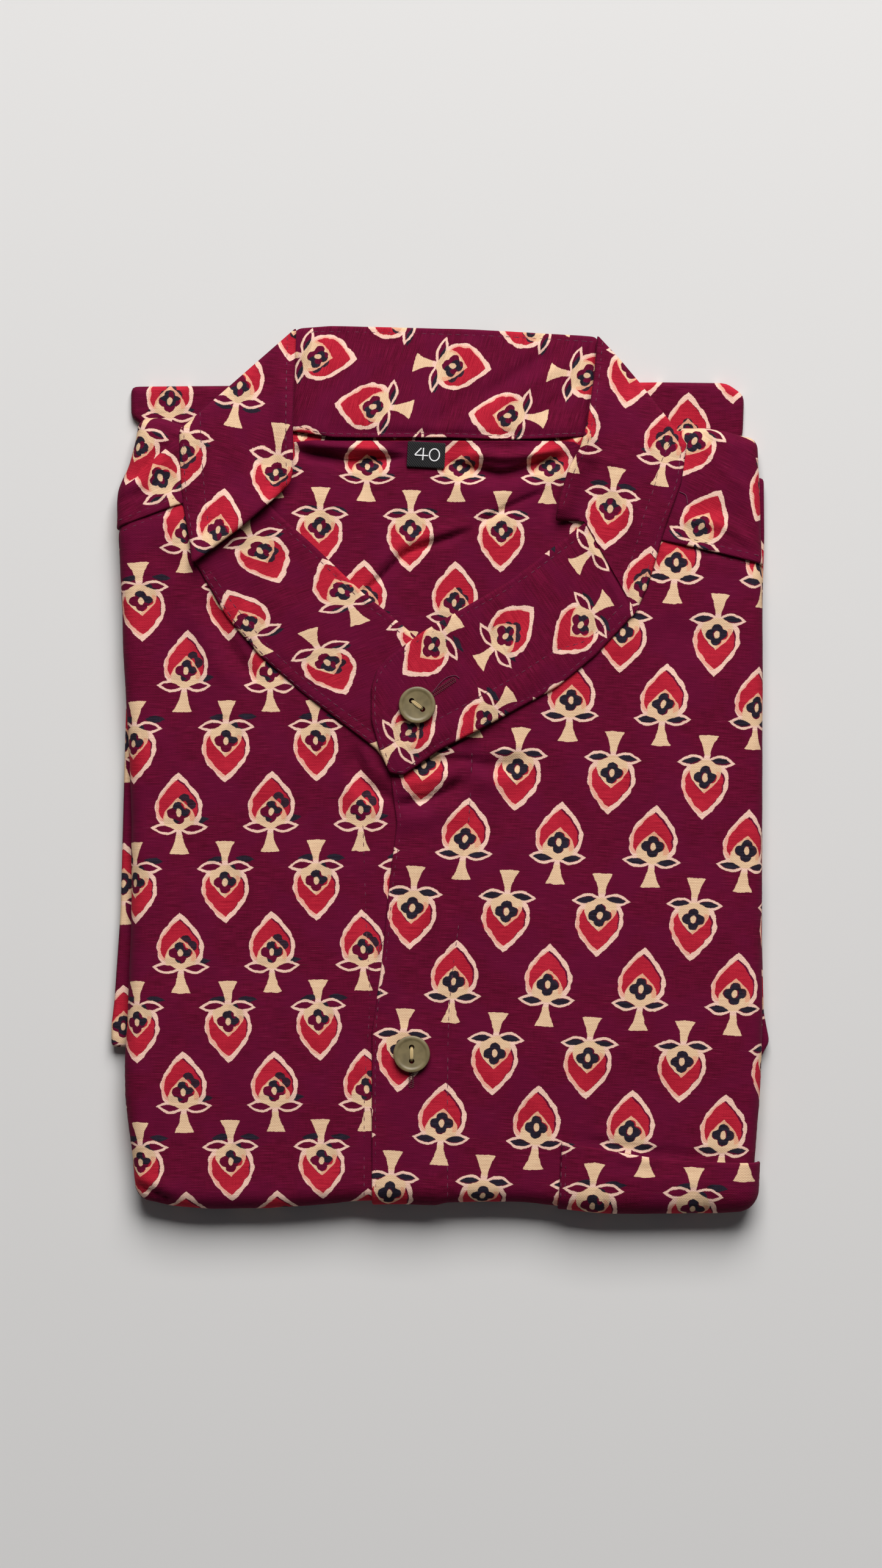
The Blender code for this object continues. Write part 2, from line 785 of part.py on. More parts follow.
def front_panels(collection):
    """The two fronts, from the yoke seams down and under at the sides and the bottom."""
    half_gap = SEAM_GAP / 2
    left_side, left_turn, left_neck = YOKE_SEAM_LEFT
    foot_y = hem_place("bottom", FRONT_JOIN_X)[1]
    hem = hem_run(hem_place("left", left_side.y), (FRONT_JOIN_X - half_gap, foot_y))
    neck = clip_above(shifted(NECKLINE_LEFT, SEAM_TUCK), left_neck.y - half_gap)
    outline = hem + [(FRONT_JOIN_X - half_gap, FRONT_TIP_Y)] + neck[::-1] + [(left_turn.x, left_turn.y - half_gap)]
    cloth_piece("front_left", collection, outline, cloth_point, 0.0, CLOTH_WALL, BURGUNDY)

    right_neck, right_turn, right_side = YOKE_SEAM_RIGHT
    hem = hem_run((FRONT_JOIN_X + half_gap, foot_y), hem_place("right", right_side.y))
    neck = clip_above(shifted(NECKLINE_RIGHT, -SEAM_TUCK), right_neck.y - half_gap)
    outline = (hem + [(right_turn.x, right_turn.y - half_gap)] + neck[:-1]
               + [(FRONT_JOIN_X + half_gap, FRONT_TIP_Y)])
    cloth_piece("front_right", collection, outline, cloth_point, 0.0, CLOTH_WALL, BURGUNDY_LIGHT)


def yokes(collection):
    """The shoulder yokes, between the fronts' seams and the shoulder folds."""
    half_gap = SEAM_GAP / 2
    left_side, left_turn, left_neck = YOKE_SEAM_LEFT
    line = shifted(NECKLINE_LEFT, SEAM_TUCK)
    neck = [clip_above(line, left_neck.y + half_gap)[0]]
    neck += [place for place in reversed(line) if left_neck.y + 1.0 < place[1] < BACK_TOP_Y]
    hem_x, hem_y = hem_place("left", left_side.y)
    outline = hem_run(hem_place("top", line[0][0]), (hem_x, hem_y + SEAM_GAP))
    outline += [(left_turn.x, left_turn.y + half_gap)] + neck
    cloth_piece("yoke_left", collection, outline, cloth_point, 0.0, CLOTH_WALL, BURGUNDY_LIGHT)

    right_neck, right_turn, right_side = YOKE_SEAM_RIGHT
    line = shifted(NECKLINE_RIGHT, -SEAM_TUCK)
    neck = [place for place in line if right_neck.y + 1.0 < place[1] < BACK_TOP_Y]
    neck += [clip_above(line, right_neck.y + half_gap)[0]]
    hem_x, hem_y = hem_place("right", right_side.y)
    outline = hem_run((hem_x, hem_y + SEAM_GAP), hem_place("top", line[0][0] + 2 * SEAM_GAP))
    outline += neck + [(right_turn.x, right_turn.y + half_gap)]
    cloth_piece("yoke_right", collection, outline, cloth_point, 0.0, CLOTH_WALL, BURGUNDY)


def back_panel(collection):
    """The back's inner face, which shows in the neck opening."""
    left = clip_above(shifted(NECKLINE_LEFT, SEAM_TUCK + SEAM_GAP), BACK_TOP_Y)[:-1]
    right = clip_above(shifted(NECKLINE_RIGHT, -(SEAM_TUCK + SEAM_GAP)), BACK_TOP_Y)[:-2]
    cloth_piece("back_panel", collection, left + BACK_TIP + right[::-1], cloth_point, 0.0, CLOTH_WALL,
                BURGUNDY_DEEP)


def band_back(collection):
    """The band behind the neck, with its inner face up."""
    inner_right = shifted(BAND_FOLD_RIGHT, BAND_FOLD_TUCK)[1:-1]
    outline = [tuple(p) for p in NECK_SEAM] + [(NECK_SEAM[-1].x, NECK_SEAM[-1].y + BAND_FOLD_TUCK)]
    outline += inner_right + [tuple(p) for p in BAND_BACK_TOP] + [BAND_BACK_CORNER]
    cloth_piece("collar_back", collection, outline, band_point, 0.0, BAND_BACK_WALL, BURGUNDY, rolled=False)


def band_left(collection):
    """The band's left side, which folds over at the top and buckles over the slanting stretch below."""
    seam = shifted(NECKLINE_LEFT, -BAND_OVERHANG)
    inner_top, outer_foot = BAND_MITRE_LEFT
    outline = ([tuple(p) for p in BAND_FOLD_LEFT]
               + [place for place in seam if outer_foot.y + 5.0 < place[1] < BAND_FOLD_LEFT[1].y]
               + [tuple(outer_foot), tuple(inner_top), BAND_INNER_LEFT_FOOT])

    def lift(x, y):
        run_x, run_y = outer_foot.x - inner_top.x, outer_foot.y - inner_top.y
        above = ((x - inner_top.x) * run_y - (y - inner_top.y) * run_x) / math.hypot(run_x, run_y)
        return BAND_TOP + BAND_TOP * (1.0 - smoothstep(*SIDE_RISE, above))

    cloth_piece("collar_side_left", collection, outline, band_point, lift, BAND_WALL,
                BURGUNDY_LIGHT, rolled=False)
    outline = ([SLANT_START] + [place for place in seam if place[1] < SLANT_START[1] - 2.0]
               + SLANT_END + [tuple(p) for p in SLANT_UPPER_LEFT])
    cloth_piece("collar_slant_left", collection, outline, band_point, BAND_TOP, BAND_WALL,
                BURGUNDY, rolled=False)


def band_right(collection):
    """The band's right side and its slanting end, a round tab that buttons over the left one."""
    seam = shifted(NECKLINE_RIGHT, BAND_OVERHANG)
    mitre_top, mitre_foot = BAND_MITRE_RIGHT
    tab_seam = [place for place in seam if place[1] < mitre_foot.y - 2.0][:-1]
    outline = ([tuple(mitre_top)] + [tuple(p) for p in TAB_UPPER] + [tuple(p) for p in TAB_END]
               + tab_seam[::-1] + [tuple(mitre_foot)])

    def lift(x, y):
        return BAND_TOP + BAND_TOP * (1.0 - smoothstep(*TAB_RISE, x))

    cloth_piece("collar_tab", collection, outline, band_point, lift, BAND_WALL, BURGUNDY, rolled=False)

    side_seam = [place for place in seam if mitre_foot.y + 2.0 < place[1] < BAND_FOLD_RIGHT[0].y - 2.0]
    outline = ([tuple(p) for p in BAND_INNER_RIGHT] + [(mitre_foot.x + SEAM_GAP, mitre_foot.y + 0.2)]
               + side_seam[::-1] + [tuple(p) for p in BAND_FOLD_RIGHT])
    cloth_piece("collar_side_right", collection, outline, band_point, BAND_TOP, BAND_WALL,
                BURGUNDY_LIGHT, rolled=False)


def sewn_on_cloth(collection):
    """Placket, pocket and label, each lying on its panel."""
    foot_left_y = hem_place("bottom", PLACKET_LEFT[-1].across)[1]
    foot_right_y = hem_place("bottom", PLACKET_RIGHT[0].across)[1]
    left = [(row.across, row.along) for row in PLACKET_LEFT[:-1]]
    right = [(row.across, row.along) for row in PLACKET_RIGHT[1:]]
    outline = (left + hem_run((PLACKET_LEFT[-1].across, foot_left_y), (PLACKET_RIGHT[0].across, foot_right_y))
               + right + PLACKET_TOP)
    cloth_piece("placket", collection, outline, cloth_point, SEWN_ON_TOP, CLOTH_WALL, BURGUNDY_LIGHT)

    top = [tuple(p) for p in POCKET_TOP]
    side_hem = hem_place("right", POCKET_SIDE_Y)
    foot = (POCKET_LEFT_FOOT_X, hem_place("bottom", POCKET_LEFT_FOOT_X)[1])
    outline = hem_run(foot, side_hem) + top
    cloth_piece("pocket", collection, outline, cloth_point, SEWN_ON_TOP, CLOTH_WALL, BURGUNDY)

    turn_x, turn_y = math.cos(LABEL_TURN), math.sin(LABEL_TURN)
    corners = ((-0.5, -0.5), (0.5, -0.5), (0.5, 0.5), (-0.5, 0.5))
    outline = []
    for share_x, share_y in corners:
        across, up = share_x * LABEL_WIDTH, share_y * LABEL_HEIGHT
        outline.append((LABEL_CENTRE.x + across * turn_x - up * turn_y,
                        LABEL_CENTRE.y + across * turn_y + up * turn_x))
    cloth_piece("neck_label", collection, outline, cloth_point, SEWN_ON_TOP, CLOTH_WALL, LABEL_BLACK)


def button_cutter(name, collection, centre, height, offset):
    mesh = bpy.data.meshes.new(name)
    shape = bmesh.new()
    bmesh.ops.create_cone(shape, cap_ends=True, segments=14, radius1=BUTTON_HOLE_RADIUS * MM,
                          radius2=BUTTON_HOLE_RADIUS * MM, depth=12.0 * MM)
    shape.to_mesh(mesh)
    shape.free()
    cutter = bpy.data.objects.new(name, mesh)
    cutter.location = ((centre.x + offset[0]) * MM, (centre.y + offset[1]) * MM, height * MM)
    cutter.hide_render = True
    cutter.display_type = "WIRE"
    collection.objects.link(cutter)
    return cutter


def button(name, collection, cutters, centre, height, turn):
    """A flat two-hole button with a low rim, turned from its profile."""
    r, top, rim = BUTTON_RADIUS, BUTTON_THICK - BUTTON_RIM, BUTTON_THICK
    profile = ((0.0, top), (r - 1.5, top), (r - 1.1, rim), (r - 0.4, rim), (r, rim - 0.4),
               (r, 0.7), (r - 0.9, 0.0), (0.0, 0.0))
    mesh = bpy.data.meshes.new(name)
    mesh.from_pydata([(radius * MM, 0.0, z * MM) for radius, z in profile],
                     [(k, k + 1) for k in range(len(profile) - 1)], [])
    disc = new_object(name, mesh, collection, HORN_OLIVE, roughness=0.35)
    disc.location = (centre.x * MM, centre.y * MM, height * MM)
    screw = disc.modifiers.new("turn", "SCREW")
    screw.steps = BUTTON_SIDES
    screw.render_steps = BUTTON_SIDES
    screw.use_merge_vertices = True
    screw.merge_threshold = 0.00001
    for side in (-1, 1):
        reach = side * BUTTON_HOLE_SPACING / 2
        offset = (math.cos(turn) * reach, math.sin(turn) * reach)
        cutter = button_cutter(name + "_hole", cutters, centre, height, offset)
        cut = disc.modifiers.new("hole", "BOOLEAN")
        cut.operation = "DIFFERENCE"
        cut.object = cutter
    return disc


def buttons(collection, cutters):
    tab_top = plain_height(*UPPER_BUTTON) + 2 * BAND_TOP
    button("button_upper", collection, cutters, UPPER_BUTTON, tab_top + BUTTON_SEAT, UPPER_HOLES_TURN)
    placket_top = plain_height(*LOWER_BUTTON) + SEWN_ON_TOP
    button("button_lower", collection, cutters, LOWER_BUTTON, placket_top + BUTTON_SEAT, LOWER_HOLES_TURN)


def main():
    for old in list(bpy.data.objects):
        bpy.data.objects.remove(old, do_unlink=True)
    parts = bpy.data.collections.new("kurta_tunic")
    cutters = bpy.data.collections.new("cutters")
    for collection in (parts, cutters):
        bpy.context.scene.collection.children.link(collection)
    folded_stack(parts)
    sleeves(parts)
    tail_fold(parts)
    front_panels(parts)
    yokes(parts)
    back_panel(parts)
    band_back(parts)
    band_left(parts)
    band_right(parts)
    sewn_on_cloth(parts)
    buttons(parts, cutters)


main()
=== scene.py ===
"""Folded kurta tunic: its cloth, block print, sewing and buttons, on the packed frame."""

import math
from collections import namedtuple

import bpy
import numpy as np
from mathutils import Matrix, Vector
from mathutils.geometry import delaunay_2d_cdt


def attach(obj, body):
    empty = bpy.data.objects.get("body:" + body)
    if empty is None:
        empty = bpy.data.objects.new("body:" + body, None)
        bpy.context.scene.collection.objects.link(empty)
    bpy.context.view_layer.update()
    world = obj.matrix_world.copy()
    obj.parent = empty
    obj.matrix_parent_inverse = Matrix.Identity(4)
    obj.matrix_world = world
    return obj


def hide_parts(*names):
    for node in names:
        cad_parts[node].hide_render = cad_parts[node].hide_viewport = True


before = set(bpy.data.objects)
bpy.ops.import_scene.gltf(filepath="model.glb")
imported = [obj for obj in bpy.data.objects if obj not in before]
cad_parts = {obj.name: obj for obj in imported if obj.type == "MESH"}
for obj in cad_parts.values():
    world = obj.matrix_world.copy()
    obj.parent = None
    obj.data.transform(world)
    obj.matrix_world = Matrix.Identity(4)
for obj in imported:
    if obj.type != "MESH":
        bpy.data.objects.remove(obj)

bl_info = {
    "name": "Folded kurta tunic",
    "version": (1, 0, 0),
    "blender": (4, 2, 0),
    "location": "View3D > Sidebar > Kurta",
    "description": "Builds a folded, block printed kurta tunic on its packed frame",
    "category": "Add Mesh",
}

# The packet's form, in millimetres, after the solids' tables. X is to the right, Y to the collar.
MM = 0.001
WRAP_ANGLE = math.radians(100.0)
HALF_WIDTH = 112.0
CROSS_BOW = 0.6
SEAM_TUCK = 2.0
BAND_LIFT = 0.3
BAND_WALL = 1.6
BAND_TOP = BAND_LIFT + BAND_WALL
LEFT_FOLD = (
    (-149.0, -106.6), (-137.0, -107.6), (-113.0, -110.4), (-85.0, -109.6), (-51.0, -108.0), (-1.5, -108.4),
    (28.0, -110.2), (77.0, -112.0), (96.0, -112.6), (107.0, -108.6), (124.0, -104.6),
)
RIGHT_FOLD = (
    (-153.0, 109.6), (-135.0, 110.2), (-113.0, 111.6), (-83.0, 112.4), (72.0, 112.5), (92.0, 112.0),
    (119.0, 110.6),
)
BOTTOM_FOLD = (
    (-107.0, -149.0), (-95.0, -151.9), (-80.0, -153.4), (-60.0, -153.4), (-25.0, -151.2), (25.0, -151.4),
    (42.0, -152.6), (62.0, -153.8), (94.0, -153.8), (110.0, -153.0),
)
SHOULDER_FOLD = (
    (-106.0, 122.4), (-98.0, 122.8), (-91.0, 120.6), (-80.0, 118.6), (76.0, 118.4), (88.0, 119.0),
    (97.0, 118.4), (108.0, 115.6),
)
HEIGHT = (
    (-156.0, 15.0), (-100.0, 14.2), (-40.0, 13.2), (20.0, 12.6), (80.0, 11.6), (104.0, 10.8), (120.0, 9.6),
    (135.0, 7.6), (156.0, 4.9),
)
ROLL_RADIUS = ((-156.0, 6.2), (0.0, 5.4), (124.0, 4.2))

# The neck: the seams of the band, the yokes and the back
NECKLINE_LEFT = (
    (-90.8, 124.0), (-90.8, 112.0), (-89.7, 93.6), (-87.1, 79.4), (-84.2, 70.2), (-74.4, 53.4),
    (-62.7, 39.8), (-48.4, 27.2), (-22.2, 7.2), (-17.1, 0.4),
)
NECKLINE_RIGHT = (
    (86.2, 124.0), (85.2, 110.2), (83.7, 99.8), (78.4, 85.3), (72.0, 63.8), (68.0, 54.5), (53.7, 39.6),
    (40.3, 28.7), (13.1, 13.8), (-0.5, 7.0), (-12.7, -1.7),
)
YOKE_SEAM_LEFT = ((-116.0, 84.0), (-92.5, 92.8), (-88.0, 94.0))
YOKE_SEAM_RIGHT = ((77.6, 81.0), (91.6, 77.5), (116.0, 71.5))
NECK_SEAM = (
    (-87.6, 118.0), (-51.6, 118.2), (-37.3, 115.8), (2.9, 115.8), (23.5, 115.0), (49.9, 116.0), (82.6, 114.6),
)
NECK_DIP = 1.4
NECK_CENTRE_X = -2.0
NECK_DIP_START_Y = 8.0
NECK_DIP_END_Y = 108.0
NECK_HALF_WIDTH = 62.0
FRONT_JOIN_X = -12.0
FRONT_TIP_Y = -1.6
BACK_TOP_Y = 114.6
BACK_TIP = ((-15.0, 5.6), (-10.0, 4.6))

# The collar band, as one stretch behind the neck, one down each side and one on each front
BAND_BACK_TOP = ((54.2, 151.5), (10.0, 154.0), (-38.6, 155.2), (-49.6, 154.3))
BAND_BACK_CORNER = (-88.2, 119.6)
BAND_FOLD_LEFT = ((-50.4, 154.6), (-91.2, 118.4))
BAND_FOLD_RIGHT = ((86.2, 113.2), (80.3, 121.4), (69.2, 135.6), (62.6, 143.5), (55.0, 151.8))
BAND_INNER_RIGHT = (
    (54.8, 151.2), (53.7, 137.9), (51.2, 121.1), (48.6, 111.9), (44.8, 105.3), (40.8, 92.4), (40.1, 86.6),
    (50.2, 86.4),
)
BAND_INNER_LEFT = ((-52.3, 99.6), (-51.4, 104.0), (-51.4, 122.0), (-50.8, 140.0))
BAND_FOOT_LEFT = ((-86.6, 71.6), (-84.6, 72.6), (-76.7, 78.7), (-68.4, 84.9), (-59.3, 92.8))
BAND_MITRE_RIGHT = ((50.4, 86.0), (68.2, 54.6))
BAND_OVERHANG = 0.4
BAND_FOLD_TUCK = 1.6
SLANT_UPPER_LEFT = ((-2.0, 40.5), (-17.8, 54.1), (-26.9, 61.3), (-45.0, 78.7), (-57.0, 89.4))
SLANT_START = (-86.4, 73.4)
SLANT_END = ((-12.0, 3.6), (-4.6, 8.0))
TAB_UPPER = ((24.6, 66.0), (6.3, 55.1), (-6.5, 47.7))
TAB_END = (
    (-12.7, 43.0), (-18.6, 38.9), (-22.2, 34.6), (-24.2, 28.3), (-24.2, 17.0), (-21.4, 6.8), (-17.8, -1.4),
    (-12.9, -2.2),
)
TAB_RISE = (8.0, 26.0)
SIDE_RISE = (6.5, 18.0)
NECK_EDGE_CURL = 3.4
NECK_EDGE_REACH = 9.0
NECK_EDGE_END = (122.0, 146.0)
FOOT_CURL = 3.0

# Placket, pocket, label and buttons
PLACKET_LEFT = ((-17.6, -0.8), (-15.2, -19.0), (-17.6, -38.0), (-20.5, -68.0), (-23.9, -92.0))
PLACKET_RIGHT = ((3.5, -110.0), (4.1, -80.0), (8.6, -43.0), (11.0, -13.0), (11.4, 11.6))
PLACKET_FOOT_X = (-23.9, 3.5)
PLACKET_TOP = ((-0.5, 5.4), (-8.0, 0.3), (-12.0, -0.6))
POCKET_TOP = ((105.7, -137.3), (90.8, -136.8), (75.9, -135.8), (62.5, -133.6), (42.4, -129.8))
POCKET_FOOT_X = 40.8
POCKET_SIDE_Y = -137.0
LABEL_SIZE = (13.2, 9.0)
LABEL_CENTRE = (-5.0, 109.7)
LABEL_TURN = math.radians(-3.0)
BUTTON_RADIUS = 6.4
BUTTON_THICK = 2.3
HOLE_RADIUS = 0.95
HOLE_SPACING = 4.8
BUTTON_SEAT = 0.4
UPPER_BUTTON = (-8.1, 22.3)
LOWER_BUTTON = (-10.0, -99.2)
UPPER_HOLES_TURN = math.radians(-38.0)
LOWER_HOLES_TURN = math.radians(90.0)

# The hidden layers and what shows of them
SLEEVE_LEFT_EDGE = (
    (-110.0, 24.0), (-110.8, -5.0), (-112.0, -50.0), (-114.2, -81.5), (-115.2, -90.0), (-115.2, -97.2),
)
SLEEVE_RIGHT_EDGE = (
    (111.6, -102.0), (115.2, -95.4), (113.2, -85.0), (112.6, -60.0), (112.8, 60.0), (113.4, 82.0),
    (113.2, 102.0),
)
SLEEVE_TUCK = 6.5
TAIL_EDGE = (
    (106.0, 118.0), (106.4, 131.0), (100.3, 135.3), (78.0, 135.6), (-108.4, 134.1), (-108.4, 123.2),
)

# Block print: the repeat, and where one motif's centre lies on each cut of cloth
REPEAT = (32.0, 49.8)
Print = namedtuple("Print", "origin across up dark red")
PRINTS = {
    "front_right": Print((8.6, -24.2), (32.7, -1.4), (4.0, 49.6), (0.1, 0.2), (-0.8, -0.4)),
    "front_left": Print((-60.1, -14.9), (31.8, 0.5), (-1.2, 48.6), (1.9, 2.9), (-0.7, -0.1)),
    "placket": Print((8.6, -24.2), (32.7, -1.4), (4.0, 49.6), (0.1, 0.2), (-0.8, -0.4)),
    "pocket": Print((34.7, -175.8), (34.7, -1.5), (2.0, 49.5), (2.8, 2.3), (-0.8, -0.3)),
    "back_panel": Print((6.0, 108.1), (31.8, -0.6), (1.2, 49.8), (1.1, 1.0), (-0.4, 0.0)),
    "collar_back": Print((4.4, 141.0), (-9.0, -32.0), (47.0, -3.3), (0.2, -1.8), (-0.3, 0.2)),
    "collar_side_left": Print((-70.1, 134.2), (31.6, -4.7), (7.3, 50.6), (0.2, -2.5), (-0.4, 0.2)),
    "collar_side_right": Print((78.9, 112.9), (31.6, -5.0), (7.7, 49.2), (0.4, 2.8), (-0.5, 0.1)),
    "collar_slant_left": Print((-67.9, 51.2), (33.4, 10.9), (-23.4, 39.1), (1.8, -1.2), (-0.4, 0.0)),
    "collar_tab": Print((-11.0, 12.8), (18.4, -25.7), (33.8, 33.6), (2.6, 1.2), (-0.3, -0.2)),
    "yoke_right": Print((91.1, 84.8), (28.3, -15.0), (23.3, 44.0), (-1.1, -0.8), (-0.3, 0.0)),
    "yoke_left": Print((-97.9, 101.9), (27.7, 16.0), (-24.9, 43.1), (0.4, -1.0), (-0.4, 0.0)),
    "tail_fold": Print((-94.8, 129.0), (32.0, 0.0), (0.0, 49.8), (0.2, 1.8), (-0.4, 0.0)),
    "sleeve_left": Print((-111.0, -40.0), (32.0, 0.0), (0.0, 49.8), (0.3, 0.9), (-0.4, 0.0)),
    "sleeve_right": Print((108.0, -30.0), (32.0, 0.0), (0.0, 49.8), (0.3, 0.9), (-0.4, 0.0)),
    "hidden_layers": Print((0.0, 0.0), (32.0, 0.0), (0.0, 49.8), (0.2, 0.8), (-0.5, -0.1)),
}

# Where the cloth was pulled out of line before it was pressed: a place, how far its print moved, and how widely
Pull = namedtuple("Pull", "place by reach")
PULLS = {
    "front_left": (Pull((-98.0, 52.0), (5.5, 1.5), 30.0), Pull((-60.0, 10.0), (1.6, 0.3), 40.0),
                   Pull((-96.0, 84.0), (4.0, 0.0), 14.0)),
    "tail_fold": (Pull((95.0, 122.0), (-11.1, -12.2), 55.0),),
    "collar_side_left": (Pull((-58.5, 107.0), (0.6, -3.6), 11.0),),
    "collar_tab": (Pull((31.0, 72.0), (-3.4, 4.8), 9.0),),
    "back_panel": (Pull((-24.7, 115.3), (0.4, -4.8), 14.5), Pull((6.3, 115.3), (1.2, -4.4), 14.0),
                   Pull((37.4, 115.3), (0.6, -4.2), 13.0)),
}

# Folds that hide a strip of cloth: a line, and the other side's own print on the left of it
FOLDS = {
    "yoke_left": (
        ((-114.0, 96.6), (-110.5, 98.8), (-105.5, 102.5), (-99.3, 109.1), (-96.6, 111.4), (-88.0, 119.4)),
        Print((-127.6, 92.6), (30.9, -8.3), (12.9, 48.1), (1.0, 0.4), (-0.4, 0.0)),
    ),
}

